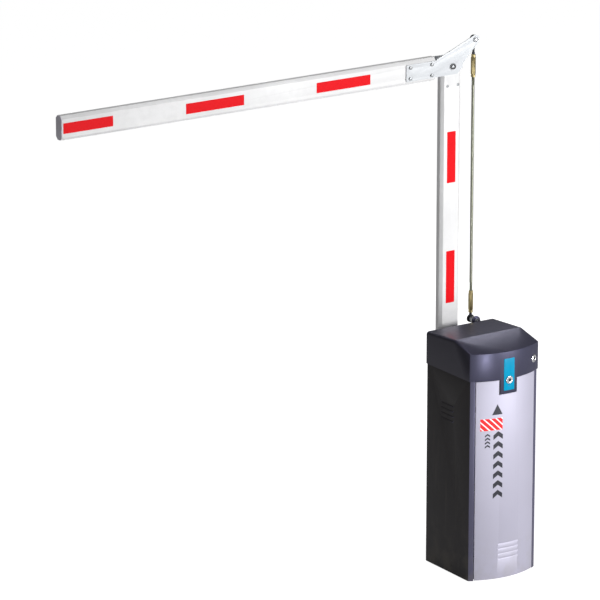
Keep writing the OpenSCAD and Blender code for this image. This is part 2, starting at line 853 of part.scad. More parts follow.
module door_panel() {
    edge = door_x - door_gap;
    color([0.8, 0.79, 0.85]) difference() {
        union() {
            bow_band(0, skin_t, door_z0, door_z1, edge);
            bow_band(skin_t, door_hem, door_z0, door_z0 + skin_t, edge - 24);
            bow_band(skin_t, door_hem, door_z1 - skin_t, door_z1, edge - 24);
            intersection() {
                bow_band(skin_t, door_hem, door_z0, door_z1, edge);
                block([edge - skin_t, -back_y - front_bow, 0], [edge, 0, door_z1]);
            }
            for (i = [0 : louvres - 1]) door_vent(door_louvre_z + i * louvre_pitch);
        }
        block([tab_x - tab_w / 2 - 3, bow_y - bow_r - 1, skirt_z - tab_drop - 3],
              [tab_x + tab_w / 2 + 3, -back_y, door_z1 + 1]);
        for (i = [0 : louvres - 1])
            translate([-door_louvre_l / 2 + 2, bow_y - bow_r - 1, door_louvre_z + i * louvre_pitch])
                cube([door_louvre_l - 4, 2 * vent_slot + 12, vent_slot]);
    }
}

// Louvre that follows the door's curve: a lip over the slot and an apron that hangs from it
module door_vent(z) {
    bow_band(-vent_proud, skin_t / 2, z + vent_h - vent_t, z + vent_h, door_louvre_l / 2);
    bow_band(-vent_proud, vent_t - vent_proud, z, z + vent_h, door_louvre_l / 2);
}

module door_knuckles() {
    h = knuckle_l - 2 * knuckle_gap;
    color("gray") for (z = hinge_zs) translate([0, 0, z + knuckle_gap]) difference() {
        union() {
            translate([hinge_x, hinge_y, 0]) cylinder(r = knuckle_r, h = h);
            intersection() {
                translate([0, bow_y, 0]) rotate([0, 0, -door_edge_turn])
                    translate([0, -bow_r, 0]) cube([26, hinge_deep + 1, h]);
                translate([0, bow_y, 0]) cylinder(r = bow_r - skin_t, h = h, $fn = 180);
            }
        }
        translate([hinge_x, hinge_y, -1]) cylinder(r = hinge_pin_r + run_gap, h = knuckle_l + 2);
    }
}

// ---- Inner boom and main shaft ----

module main_shaft() {
    color("silver") y_rod(shaft_r, shaft_front_y, hub_rear_y, 0, shaft_z);
}

// Lever of the main shaft or of the gearbox, centred on (0, z), with its pin towards -45 degrees
module lever(z, shaft) {
    difference() {
        union() {
            y_rod(lever_hub_r, lever_y - 4, lever_y + lever_t + 4, 0, z);
            translate([0, lever_y + lever_t, z]) rotate([90, 0, 0]) linear_extrude(lever_t) {
                rotate(lever_slant) translate([0, -lever_half])
                    square([lever_l - 4, 2 * lever_half]);
                translate([pin_dx, pin_dz]) circle(r = lever_end_r);
            }
            y_rod(crank_pin_d / 2, lever_y, conrod_y + lever_t + 4, pin_dx, z + pin_dz);
        }
        y_rod(shaft, lever_y - 5, lever_y + lever_t + 5, 0, z);
    }
}

module drive_lever() {
    color("dimgray") lever(shaft_z, shaft_r);
}

module sensor_cam() {
    color("gray") difference() {
        union() {
            y_rod(30, shaft_front_y, shaft_front_y + 8, 0, shaft_z);
            intersection() {
                y_rod(48, shaft_front_y, shaft_front_y + 8, 0, shaft_z);
                block([-9, shaft_front_y, shaft_z], [9, shaft_front_y + 8, shaft_z + 50]);
            }
        }
        y_rod(shaft_r, shaft_front_y - 1, shaft_front_y + 9, 0, shaft_z);
    }
}

module boom_hub() {
    color("gray") difference() {
        y_rod(hub_r, hub_front_y, hub_rear_y, 0, shaft_z);
        y_rod(shaft_r, hub_front_y - 1, hub_rear_y + 1, 0, shaft_z);
    }
}

module clamp(y0) {
    difference() {
        block([-clamp_x, y0, shaft_z - clamp_z], [clamp_x, y0 + clamp_t, shaft_z + clamp_z]);
        for (x = [-1, 1], z = [-1, 1])
            y_rod(clamp_bolt_d / 2 + bolt_gap, y0 - 1, y0 + clamp_t + 1,
                  x * clamp_bolt_x, shaft_z + z * clamp_bolt_z);
    }
}

module boom_clamp_front() { color([0.85, 0.86, 0.88]) clamp(boom_front - clamp_t); }

module boom_clamp_rear() { color([0.85, 0.86, 0.88]) clamp(boom_rear); }

module clamp_bolts() {
    grip = boom_t + 2 * clamp_t;
    color("silver") for (x = [-1, 1], z = [-1, 1])
        translate([x * clamp_bolt_x, boom_rear + clamp_t + 8, shaft_z + z * clamp_bolt_z])
            rotate([90, 0, 0]) {
                hex_bolt(10, 8, clamp_bolt_d / 2, grip + 12);
                translate([0, 0, 8 + grip]) cylinder(r = 10, h = 9, $fn = 6);
            }
}

module inner_boom_tube() {
    color([0.95, 0.95, 0.96]) difference() {
        translate([0, boom_y, boom_low_z]) linear_extrude(elbow_z + boom_over - boom_low_z) difference() {
            boom_outline();
            boom_outline(boom_wall);
        }
        y_rod(pivot_r + run_gap, boom_front - 1, boom_rear + 1, 0, elbow_z);
        for (x = insert_bolt_x)
            y_rod(sunk_head_r + bolt_gap, boom_front - 1, boom_rear + 1,
                  x, elbow_z - insert_bolt_drop);
    }
}

module inner_boom_strips() {
    color([0.93, 0.11, 0.14]) for (s = inner_strips, y = [boom_front - strip_t, boom_rear])
        block([-strip_h / 2, y, s[0]], [strip_h / 2, y + strip_t, s[1]]);
}

module boom_inserts() {
    color("silver") {
        difference() {
            translate([0, boom_y, elbow_z + boom_over - insert_l])
                linear_extrude(insert_l) boom_outline(boom_wall);
            y_rod(pivot_r + run_gap, boom_front - 1, boom_rear + 1, 0, elbow_z);
            for (x = insert_bolt_x)
                y_rod(insert_bolt_r + bolt_gap, boom_front - 1, boom_rear + 1,
                      x, elbow_z - insert_bolt_drop);
        }
        translate([0, boom_y, boom_low_z]) linear_extrude(plug_l) boom_outline(boom_wall);
    }
}

module elbow_insert_bolts() {
    head = boom_wall + elbow_gap / 2;
    color("gray") for (x = insert_bolt_x) {
        z = elbow_z - insert_bolt_drop;
        y_rod(insert_bolt_r, boom_front, boom_rear, x, z);
        y_rod(sunk_head_r, boom_front - elbow_gap / 2, boom_front - elbow_gap / 2 + head, x, z);
        y_rod(sunk_head_r, boom_rear + elbow_gap / 2 - head, boom_rear + elbow_gap / 2, x, z);
    }
}

// ---- Outer boom and elbow ----

// Point where a line from p touches the circle of radius r round c, on the chosen side
function touch(p, c, r, side) =
    let (d = c - p, l = norm(d), a = atan2(d[1], d[0]) + side * asin(r / l), t = sqrt(l * l - r * r))
    p + t * [cos(a), sin(a)];

module elbow_outline(horn) {
    root_top = [-77, elbow_half + 6];
    root_side = [51, 6];
    tip = [link_dx, link_dz];
    polygon(concat(
        [[-elbow_l, -elbow_half], [24, -elbow_half + 3], [51, -8], root_side],
        horn ? [touch(root_side, tip, horn_r, -1), tip, touch(root_top, tip, horn_r, 1)]
             : [[51, 24], [30, elbow_half + 4]],
        [root_top, [-84, elbow_half], [-elbow_l, elbow_half]]));
    if (horn) translate(tip) circle(r = horn_r);
}

module elbow_plate(y0, horn) {
    difference() {
        translate([0, y0 + elbow_t, elbow_z]) rotate([90, 0, 0])
            linear_extrude(elbow_t) elbow_outline(horn);
        y_rod(pivot_r, y0 - 1, y0 + elbow_t + 1, 0, elbow_z);
        if (horn)
            y_rod(link_pin_r, y0 - 1, y0 + elbow_t + 1, link_dx, elbow_z + link_dz);
        elbow_bolt_places() y_rod(elbow_bolt_d / 2 + bolt_gap, y0 - 1, y0 + elbow_t + 1);
    }
}

module elbow_bolt_places() {
    for (i = [0, 1], s = [-1, 1])
        translate([-elbow_bolt_x - i * elbow_bolt_dx, 0, elbow_z + s * elbow_bolt_dz / 2])
            children();
}

module elbow_plate_front() { color([0.91, 0.93, 0.95]) elbow_plate(plate_front_y, true); }

module elbow_plate_rear() { color([0.91, 0.93, 0.95]) elbow_plate(plate_rear_y, false); }

module elbow_packers() {
    color("lightgray") {
        for (y = [boom_front - elbow_gap, boom_rear]) difference() {
            block([-elbow_l + 6, y, elbow_z - elbow_half + 6],
                  [-outer_start - 4, y + elbow_gap, elbow_z + elbow_half - 6]);
            elbow_bolt_places() y_rod(elbow_bolt_d / 2 + bolt_gap, y - 1, y + elbow_gap + 1);
        }
        for (y = [[boom_front - elbow_gap, boom_front - 0.3], [boom_rear + 0.3, boom_rear + elbow_gap]])
            difference() {
                y_rod(pivot_r + 9, y[0], y[1], 0, elbow_z);
                y_rod(pivot_r, y[0] - 1, y[1] + 1, 0, elbow_z);
            }
    }
}

module elbow_plate_bolts() {
    grip = plate_rear_y + elbow_t - plate_front_y;
    color("silver") elbow_bolt_places() {
        translate([0, plate_front_y - bolt_head_t, 0]) rotate([-90, 0, 0]) {
            cylinder(r = bolt_head_r, h = bolt_head_t, $fn = 6);
            cylinder(r = elbow_bolt_d / 2, h = bolt_head_t + grip + 6);
        }
        translate([0, plate_rear_y + elbow_t, 0]) rotate([-90, 0, 0])
            cylinder(r = bolt_head_r, h = bolt_head_t, $fn = 6);
    }
}

module elbow_pivot_bolt() {
    y1 = plate_rear_y + elbow_t;
    color("silver") {
        y_rod(pivot_r + 4, plate_front_y - 5, plate_front_y, 0, elbow_z);
        y_rod(pivot_r, plate_front_y - 5, y1 + 8, 0, elbow_z);
        y_rod(pivot_r + 4, y1, y1 + 6, 0, elbow_z);
    }
}

module horn_pin() {
    x = link_dx;
    z = elbow_z + link_dz;
    color("silver") {
        y_rod(link_head_r, plate_front_y - link_head_t, plate_front_y, x, z);
        y_rod(link_pin_r, plate_front_y - 1, eye_y + eye_t + 5, x, z);
        y_rod(link_head_r, plate_front_y + elbow_t, eye_y - pass_gap, x, z);
        y_rod(link_head_r, eye_y + eye_t + pass_gap, eye_y + eye_t + 5, x, z);
    }
}

module outer_boom_tube() {
    l = outer_reach - cap_t - outer_start;
    color([0.95, 0.95, 0.96]) difference() {
        x_boom(-outer_start - l, l);
        x_boom(-outer_start - l - 1, l + 2, boom_wall);
        elbow_bolt_places() y_rod(elbow_bolt_d / 2 + bolt_gap, boom_front - 1, boom_rear + 1);
    }
}

// Boom outline drawn out along +X from x0
module x_boom(x0, l, inset = 0) {
    translate([x0, boom_y, elbow_z]) rotate([90, 0, 90])
        linear_extrude(l) rotate(90) boom_outline(inset);
}

module outer_boom_caps() {
    color([0.6, 0.61, 0.66]) {
        x_boom(-outer_reach, cap_t);
        x_boom(-outer_reach, cap_t + plug_l, boom_wall);
        x_boom(-outer_start - plug_l / 2, plug_l / 2, boom_wall);
    }
}

module outer_boom_strips() {
    color([0.93, 0.11, 0.14]) for (s = outer_strips, y = [boom_front - strip_t, boom_rear])
        block([-s[1], y, elbow_z - strip_h / 2], [-s[0], y + strip_t, elbow_z + strip_h / 2]);
}

// ---- Tie rod ----

module z_rod(r, z0, z1, x, y) {
    translate([x, y, z0]) cylinder(r = r, h = z1 - z0);
}

module tie_rod_bar() {
    color([0.55, 0.58, 0.53])
        z_rod(rod_d / 2, low_sleeve_z + 20, high_sleeve_z - 20, ear_x, rod_y);
}

module tie_rod_sleeves() {
    color([0.72, 0.64, 0.36]) for (z = [low_sleeve_z, high_sleeve_z - sleeve_l]) difference() {
        z_rod(sleeve_d / 2, z, z + sleeve_l, ear_x, rod_y);
        z_rod(rod_d / 2, z - 1, z + sleeve_l + 1, ear_x, rod_y);
    }
}

module tie_rod_eye(z, z_stud, z_thread, gap) {
    difference() {
        union() {
            y_rod(eye_r, eye_y, eye_y + eye_t, ear_x, z);
            z_rod(5, min(z, z_stud), max(z, z_stud), ear_x, rod_y);
            z_rod(rod_d / 2, min(z_stud, z_thread), max(z_stud, z_thread), ear_x, rod_y);
        }
        y_rod(link_pin_r + gap, eye_y - 1, eye_y + eye_t + 1, ear_x, z);
    }
}

module tie_rod_eyes() {
    color("dimgray") {
        tie_rod_eye(ear_z, low_sleeve_z, low_sleeve_z + 20, run_gap);
        tie_rod_eye(top_pivot_z, high_sleeve_z, high_sleeve_z - 20, free_gap);
    }
}

// ---- Drive ----

module output_shaft() {
    color("silver") y_rod(out_r, box_front_y - cover_t - 2, lever_y + lever_t + 4, 0, crank_z);
}

module worm_wheel() {
    color("darkgoldenrod") difference() {
        union() {
            y_rod(wheel_root_r, wheel_y - wheel_t / 2, wheel_y + wheel_t / 2, 0, crank_z);
            for (i = [0 : worm_teeth - 1])
                translate([0, wheel_y, crank_z]) rotate([0, i * 360 / worm_teeth, 0])
                    translate([-(wheel_tip_r + wheel_root_r - 1) / 2, 0, 0]) rotate([tooth_slant, 0, 0])
                        cube([wheel_tip_r - wheel_root_r + 1, wheel_t, tooth_w], center = true);
        }
        y_rod(out_r, wheel_y - wheel_t, wheel_y + wheel_t, 0, crank_z);
    }
}

module crank_arm() {
    color("dimgray") lever(crank_z, out_r);
}

module connecting_rod() {
    color("gray") difference() {
        union() {
            for (z = [shaft_z, crank_z])
                y_rod(lever_end_r, conrod_y, conrod_y + lever_t, pin_dx, z + pin_dz);
            z_rod(conrod_d / 2 - 1.5, crank_z + pin_dz, shaft_z + pin_dz, pin_dx, conrod_y + lever_t / 2);
        }
        y_rod(crank_pin_d / 2 + free_gap, conrod_y - 1, conrod_y + lever_t + 1,
              pin_dx, shaft_z + pin_dz);
        y_rod(crank_pin_d / 2 + run_gap, conrod_y - 1, conrod_y + lever_t + 1,
              pin_dx, crank_z + pin_dz);
    }
}

module worm_shaft() {
    turns = worm_l / worm_pitch;
    color("silver") translate([-worm_dist, wheel_y, 0]) {
        translate([0, 0, motor_z1 - 26]) cylinder(r = worm_shaft_r, h = knob_z - motor_z1 + 26);
        translate([0, 0, crank_z - worm_l / 2]) rotate([0, 0, 180 - 360 * turns / 2])
            linear_extrude(height = worm_l, twist = -360 * turns, slices = 12 * turns)
                translate([worm_e, 0]) circle(r = worm_r, $fn = 16);
    }
}

module hand_knob() {
    color([0.1, 0.1, 0.1]) translate([-worm_dist, wheel_y, knob_z]) difference() {
        union() {
            cylinder(r = knob_r, h = 18);
            translate([0, 0, -8]) cylinder(r = 13, h = 9);
        }
        translate([0, 0, -9]) cylinder(r = worm_shaft_r, h = 9);
        for (i = [0 : 7]) rotate([0, 0, i * 45]) translate([knob_r + 3, 0, -1])
            cylinder(r = 5, h = 20);
    }
}

base_plate();
body_shell();
chassis_frame();
front_bearing_plate();
rear_bearing_plate();
shaft_bearings();
front_header();
link_ear_bracket();
link_ear_pin();
gearbox_housing();
gearbox_cover();
drive_motor();
motor_fan_cover();
balance_spring();
stop_buffers();
sensor_bracket();
limit_sensors();
control_box();
terminal_rail();
hood_pads();
door_hinge_pins();
cabinet_fasteners();
cable_grommet();
hood_shell();
lock_plate();
lock_bezels();
hood_lock_barrel();
hood_lock_cam();
release_lock_barrel();
door_panel();
door_knuckles();
main_shaft();
drive_lever();
sensor_cam();
boom_hub();
boom_clamp_front();
boom_clamp_rear();
clamp_bolts();
inner_boom_tube();
inner_boom_strips();
boom_inserts();
elbow_insert_bolts();
elbow_plate_front();
elbow_plate_rear();
elbow_packers();
elbow_plate_bolts();
elbow_pivot_bolt();
horn_pin();
outer_boom_tube();
outer_boom_caps();
outer_boom_strips();
tie_rod_bar();
tie_rod_sleeves();
tie_rod_eyes();
output_shaft();
worm_wheel();
crank_arm();
connecting_rod();
worm_shaft();
hand_knob();
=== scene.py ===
"""Parking barrier with a folding arm.

The outer pieces and every finish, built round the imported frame.
"""

import math

import bmesh
import bpy
from bpy.props import FloatProperty, FloatVectorProperty, IntProperty, PointerProperty
from mathutils import Matrix, Vector


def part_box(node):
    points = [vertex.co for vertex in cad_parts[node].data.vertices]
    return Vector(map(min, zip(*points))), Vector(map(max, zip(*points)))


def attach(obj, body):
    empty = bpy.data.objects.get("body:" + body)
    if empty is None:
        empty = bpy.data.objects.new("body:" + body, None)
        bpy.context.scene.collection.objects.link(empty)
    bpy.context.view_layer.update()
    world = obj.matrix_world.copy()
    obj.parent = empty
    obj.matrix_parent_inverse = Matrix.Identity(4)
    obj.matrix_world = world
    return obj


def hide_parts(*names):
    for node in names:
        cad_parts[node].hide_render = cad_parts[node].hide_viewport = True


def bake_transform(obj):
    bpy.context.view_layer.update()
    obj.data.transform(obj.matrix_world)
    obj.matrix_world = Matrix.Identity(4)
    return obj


bl_info = {
    "name": "Parking Barrier",
    "version": (1, 0, 0),
    "blender": (4, 5, 0),
    "location": "View3D > Sidebar > Barrier",
    "description": "Builds a parking barrier with a lift-off hood and a folding arm",
    "category": "Object",
}

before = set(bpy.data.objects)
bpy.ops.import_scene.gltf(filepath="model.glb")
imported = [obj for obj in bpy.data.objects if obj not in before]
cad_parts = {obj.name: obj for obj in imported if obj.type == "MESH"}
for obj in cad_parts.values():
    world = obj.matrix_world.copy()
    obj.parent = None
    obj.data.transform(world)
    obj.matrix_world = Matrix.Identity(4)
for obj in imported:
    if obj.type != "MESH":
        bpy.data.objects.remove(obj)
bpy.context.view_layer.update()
X, Y, Z = Vector((1, 0, 0)), Vector((0, 1, 0)), Vector((0, 0, 1))
TINY = 1e-5      # distance under which two vertices are one
PAST = 0.01      # how far a cutting tool reaches past the piece it cuts
FAR = 0.3        # a cutting tool's reach where it clears a whole side
BREAK = 0.0006   # rounding of a sheet's cut edges


def low(node):
    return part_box(node)[0]


def high(node):
    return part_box(node)[1]


def middle(node):
    return (low(node) + high(node)) / 2


# ---------------------------------------------------------------------------
# Sizes and colours that a user would change
# ---------------------------------------------------------------------------

def size(name, description, default, smallest=0.0):
    return FloatProperty(name=name, description=description, default=default, min=smallest,
                         subtype="DISTANCE", unit="LENGTH", precision=4)


def colour(name, description, default):
    return FloatVectorProperty(name=name, description=description, default=default, size=3,
                               min=0.0, max=1.0, subtype="COLOR")


class CabinetSizes(bpy.types.PropertyGroup):
    skin: size("Skin", "Thickness of the cabinet's steel skins", 0.002)
    post: size("Corner post", "Width of each post beside the door", 0.019)
    jamb: size("Jamb", "Depth of the flange behind each post", 0.024)
    back_corner: size("Back corner", "Radius of the cabinet's back corners", 0.0085)
    shaft_notch: size("Shaft notch", "Radius of the notch round the main shaft", 0.024)
    louvre_reach: size("Louvre reach", "How far a louvre stands out from its skin", 0.003)
    louvre_height: size("Louvre height", "Height of one louvre", 0.0065)
    louvre_pitch: size("Louvre pitch", "Distance between louvres", 0.022)
    louvre_slot: size("Louvre slot", "Height of the slot under a louvre", 0.004)
    side_louvre: size("Side louvre", "Length of the side louvres", 0.086)
    door_louvre: size("Door louvre", "Length of the door louvres", 0.104)
    louvres: IntProperty(name="Louvres", description="Louvres in each group", default=4, min=1)
    hem: size("Door hem", "Depth of the door's folded edges", 0.011)


class HoodSizes(bpy.types.PropertyGroup):
    wall: size("Wall", "Thickness of the hood's wall", 0.003)
    edge: size("Edge", "Radius of the roof's side and back edges", 0.013)
    band: size("Front band", "Height of the upright front band", 0.118)
    crest_behind: size("Crest", "Distance of the crest behind the front of the sides", 0.114)
    tail_drop: size("Tail drop", "How far the roof falls from its crest to its tail", 0.012)
    tab_drop: size("Tab drop", "How far the tab reaches down over the door", 0.063)
    tab: size("Tab", "Width of the tab over the door", 0.082)
    facing_corner: size("Facing corner", "Corner radius of the coloured lock facing", 0.003)
    barrel: size("Key barrel", "Radius of the key barrels", 0.010)


class ArmSizes(bpy.types.PropertyGroup):
    chamfer: size("Chamfer", "Corner chamfer of the booms", 0.012)
    wall: size("Wall", "Wall of the boom tubes", 0.003)
    soft_edge: size("Soft edge", "Radius left on the booms' long corners", 0.0015)
    tape_corner: size("Tape corner", "Corner radius of the reflective strips", 0.002)
    pivot: size("Pivot", "Radius of the elbow pivot bolt", 0.010)
    link_pin: size("Link pin", "Radius of the tie rod's pins", 0.008)
    horn: size("Horn", "Radius of the horn's round end", 0.019)
    plate_half: size("Elbow plate", "Half the height of the elbow plates", 0.036)
    bolt_clear: size("Bolt hole", "Radius of the elbow plates' bolt holes", 0.00525)
    spring_wire: size("Spring wire", "Radius of the balance spring's wire", 0.0046)


class BarrierColours(bpy.types.PropertyGroup):
    cabinet: colour("Cabinet", "Powder coat of the cabinet", (0.112, 0.109, 0.172))
    # The side colour is painted shade, laid on the cabinet's sides and back and on the hood's two
    # ends.
    side: colour("Cabinet sides", "Darker coat of the cabinet's sides and back",
                 (0.046, 0.043, 0.045))
    hood: colour("Hood", "Powder coat of the hood", (0.078, 0.077, 0.124))
    door: colour("Door", "Metallic coat of the door", (0.485, 0.472, 0.575))
    facing: colour("Lock facing", "Film round the hood's lock", (0.0, 0.30, 0.52))
    boom: colour("Booms", "Coat of both booms", (0.86, 0.86, 0.865))
    elbow: colour("Elbow", "Coat of the elbow plates", (0.715, 0.74, 0.77))
    tape: colour("Tape", "Reflective strips", (0.88, 0.005, 0.012))
    mark: colour("Marks", "Printed marks on the door", (0.030, 0.030, 0.042))


# ---------------------------------------------------------------------------
# Drawing and shaping
# ---------------------------------------------------------------------------

class Arc:
    """A round stretch of an outline: it turns by degrees round an axis through centre."""

    def __init__(self, centre, degrees, steps, axis=Z):
        self.centre, self.degrees, self.steps, self.axis = Vector(centre), degrees, steps, axis


def put_down():
    """Leaves edit mode with nothing selected."""
    if bpy.context.object and bpy.context.object.mode != "OBJECT":
        bpy.ops.object.mode_set(mode="OBJECT")
    bpy.ops.object.select_all(action="DESELECT")


def take(*pieces):
    """Selects pieces, with the first one active."""
    put_down()
    for piece in pieces:
        piece.select_set(True)
    bpy.context.view_layer.objects.active = pieces[0]
    return pieces[0]


def edit(piece):
    take(piece)
    bpy.ops.object.mode_set(mode="EDIT")
    bpy.ops.mesh.select_mode(type="VERT")
    bpy.ops.mesh.select_all(action="SELECT")


def pen_point(piece):
    """Where the outline's free end is."""
    mesh = bmesh.from_edit_mesh(piece.data)
    return piece.matrix_world @ next(v.co for v in mesh.verts if v.select)


def draw(name, start, moves):
    """Draws an outline from start. A move is the next point, or an Arc."""
    put_down()
    bpy.ops.mesh.primitive_plane_add(size=0.01, location=start)
    piece = bpy.context.object
    piece.name = piece.data.name = name
    edit(piece)
    bpy.ops.mesh.merge(type="CENTER")
    for move in moves:
        if isinstance(move, Arc):
            bpy.ops.mesh.spin(steps=move.steps, angle=-math.radians(move.degrees),
                              center=move.centre, axis=move.axis)
        else:
            step = Vector(move) - pen_point(piece)
            bpy.ops.mesh.extrude_vertices_move(TRANSFORM_OT_translate={"value": step})
    bpy.ops.mesh.select_all(action="SELECT")
    bpy.ops.mesh.remove_doubles(threshold=TINY)
    return piece


def fill():
    bpy.ops.mesh.select_all(action="SELECT")
    bpy.ops.mesh.edge_face_add()


def pull(step):
    """Extrudes what is selected by a step."""
    bpy.ops.mesh.extrude_region_move(TRANSFORM_OT_translate={"value": Vector(step)})


def solid(name, start, moves, step):
    """A closed outline drawn out by a step."""
    piece = draw(name, start, moves)
    fill()
    pull(step)
    return close(piece)


def turned(name, foot, along, profile, steps=48):
    """A lathe piece: profile holds (radius, distance) pairs from the foot along an axis."""
    along = Vector(along).normalized()
    side = along.orthogonal().normalized()
    foot = Vector(foot)
    points = [foot + side * r + along * d for r, d in profile]
    piece = draw(name, points[0], points[1:])
    bpy.ops.mesh.spin(steps=steps, angle=math.tau, center=foot, axis=along)
    return close(piece)


def close(piece):
    """Merges doubles and turns every face outwards, then puts the place into the mesh."""
    bpy.ops.mesh.select_all(action="SELECT")
    bpy.ops.mesh.remove_doubles(threshold=TINY)
    bpy.ops.mesh.normals_make_consistent(inside=False)
    put_down()
    return settle(piece)


def settle(piece):
    take(piece)
    bpy.ops.object.transform_apply(location=True, rotation=True, scale=True)
    return piece


def modify(piece, kind, **settings):
    """Adds a modifier and applies it."""
    settle(piece)
    modifier = piece.modifiers.new(kind.title(), kind)
    for key, value in settings.items():
        setattr(modifier, key, value)
    bpy.ops.object.modifier_apply(modifier=modifier.name)
    return piece


def soften(piece, width, segments=2, angle=35):
    """Rounds every edge sharper than an angle."""
    return modify(piece, "BEVEL", width=width, segments=segments, limit_method="ANGLE",
                  angle_limit=math.radians(angle), harden_normals=False)


def cut(piece, *tools):
    """Cuts the tools' shapes out of a piece and clears the tools away."""
    for tool in tools:
        modify(piece, "BOOLEAN", operation="DIFFERENCE", solver="EXACT", object=tool)
        bpy.data.objects.remove(tool)
    return piece


def block(name, a, b):
    """A box between two corners, as a start or a cutting tool."""
    a, b = Vector(a), Vector(b)
    put_down()
    bpy.ops.mesh.primitive_cube_add(size=1, location=(a + b) / 2)
    piece = bpy.context.object
    piece.name = piece.data.name = name
    piece.scale = [abs(s) for s in b - a]
    return settle(piece)


def rod(name, foot, along, radius, length, sides=48):
    """A plain round bar from foot, as a start or a cutting tool."""
    along = Vector(along).normalized()
    put_down()
    bpy.ops.mesh.primitive_cylinder_add(vertices=sides, radius=radius, depth=length,
                                        location=Vector(foot) + along * length / 2)
    piece = bpy.context.object
    piece.name = piece.data.name = name
    piece.rotation_euler = Z.rotation_difference(along).to_euler()
    return settle(piece)


def pick_edges(piece, wanted):
    """Selects the edges for which wanted(middle, direction) holds."""
    edit(piece)
    bpy.ops.mesh.select_mode(type="EDGE")
    bpy.ops.mesh.select_all(action="DESELECT")
    mesh = bmesh.from_edit_mesh(piece.data)
    for edge in mesh.edges:
        a, b = edge.verts[0].co, edge.verts[1].co
        edge.select_set(wanted((a + b) / 2, (b - a).normalized()))
    bmesh.update_edit_mesh(piece.data)


def pick_faces(piece, wanted):
    """Selects the faces for which wanted(middle, normal) holds."""
    edit(piece)
    bpy.ops.mesh.select_mode(type="FACE")
    bpy.ops.mesh.select_all(action="DESELECT")
    mesh = bmesh.from_edit_mesh(piece.data)
    for face in mesh.faces:
        face.select_set(wanted(face.calc_center_median(), face.normal))
    bmesh.update_edit_mesh(piece.data)


def round_picked(width, segments=4):
    bpy.ops.mesh.bevel(offset=width, segments=segments, profile=0.5, affect="EDGES")
    put_down()


def copy_of(piece, name, matrix):
    """A copy with its own mesh, moved by a matrix."""
    twin = piece.copy()
    twin.data = piece.data.copy()
    twin.name = twin.data.name = name
    bpy.context.scene.collection.objects.link(twin)
    twin.matrix_world = matrix
    return settle(twin)


def join(name, *parts):
    """Joins parts into one piece."""
    piece = take(*parts)
    if len(parts) > 1:
        bpy.ops.object.join()
    piece.name = piece.data.name = name
    return settle(piece)


def dressed(name, node, width=BREAK, segments=2):
    """A merged copy of a frame node with its edges broken."""
    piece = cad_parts[node].copy()
    piece.data = piece.data.copy()
    piece.name = piece.data.name = name
    piece.parent = None
    for key in list(piece.keys()):
        del piece[key]
    bpy.context.scene.collection.objects.link(piece)
    edit(piece)
    bpy.ops.mesh.remove_doubles(threshold=TINY)
    bpy.ops.mesh.customdata_custom_splitnormals_clear()
    bpy.ops.mesh.dissolve_limited(angle_limit=math.radians(1))
    put_down()
    return soften(piece, width, segments) if width else piece


def hand_over(piece, body, slot, *nodes, finish=None, smooth=32):
    """Gives a piece its finish, its smoothing, its body and the nodes it stands for.

    The finish is the slot's own unless another is named. A piece that already
    carries a finish for each of its faces says "own".
    """
    take(piece)
    if finish != "own":
        coat(piece, finish or slot)
    bpy.ops.object.shade_smooth_by_angle(angle=math.radians(smooth))
    if body:
        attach(piece, body)
    if nodes:
        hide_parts(*nodes)
    return piece


def coat(piece, *finishes):
    """Lays named finishes on a piece in place of those it has."""
    piece.data.materials.clear()
    for finish in finishes:
        piece.data.materials.append(FINISHES[finish])


# ---------------------------------------------------------------------------
# Finishes
# ---------------------------------------------------------------------------

class Level:
    """A shader socket that stands in sums like a number."""

    def __init__(self, finish, socket):
        self.finish, self.socket = finish, socket

    def math(self, operation, first, second):
        return self.finish.node("ShaderNodeMath", {"operation": operation}, {0: first, 1: second})

    def __add__(self, other):
        return self.math("ADD", self, other)

    def __sub__(self, other):
        return self.math("SUBTRACT", self, other)

    def __rsub__(self, other):
        return self.math("SUBTRACT", other, self)

    def __mul__(self, other):
        return self.math("MULTIPLY", self, other)

    def __truediv__(self, other):
        return self.math("DIVIDE", self, other)

    def __lt__(self, other):
        return self.math("LESS_THAN", self, other)

    def __gt__(self, other):
        return self.math("GREATER_THAN", self, other)

    __radd__, __rmul__ = __add__, __mul__

    def __abs__(self):
        return self.math("ABSOLUTE", self, 0)

    def part(self):
        """What is left over a whole number."""
        return self.math("FRACT", self, 0)

    def rise(self, start, end):
        """Climbs smoothly from 0 to 1 between two values."""
        return self.finish.node("ShaderNodeMapRange", {"interpolation_type": "SMOOTHSTEP"},
                                {"Value": self, "From Min": start, "From Max": end})

    def axis(self, name):
        return self.finish.node("ShaderNodeSeparateXYZ", values={0: self}, output=name)


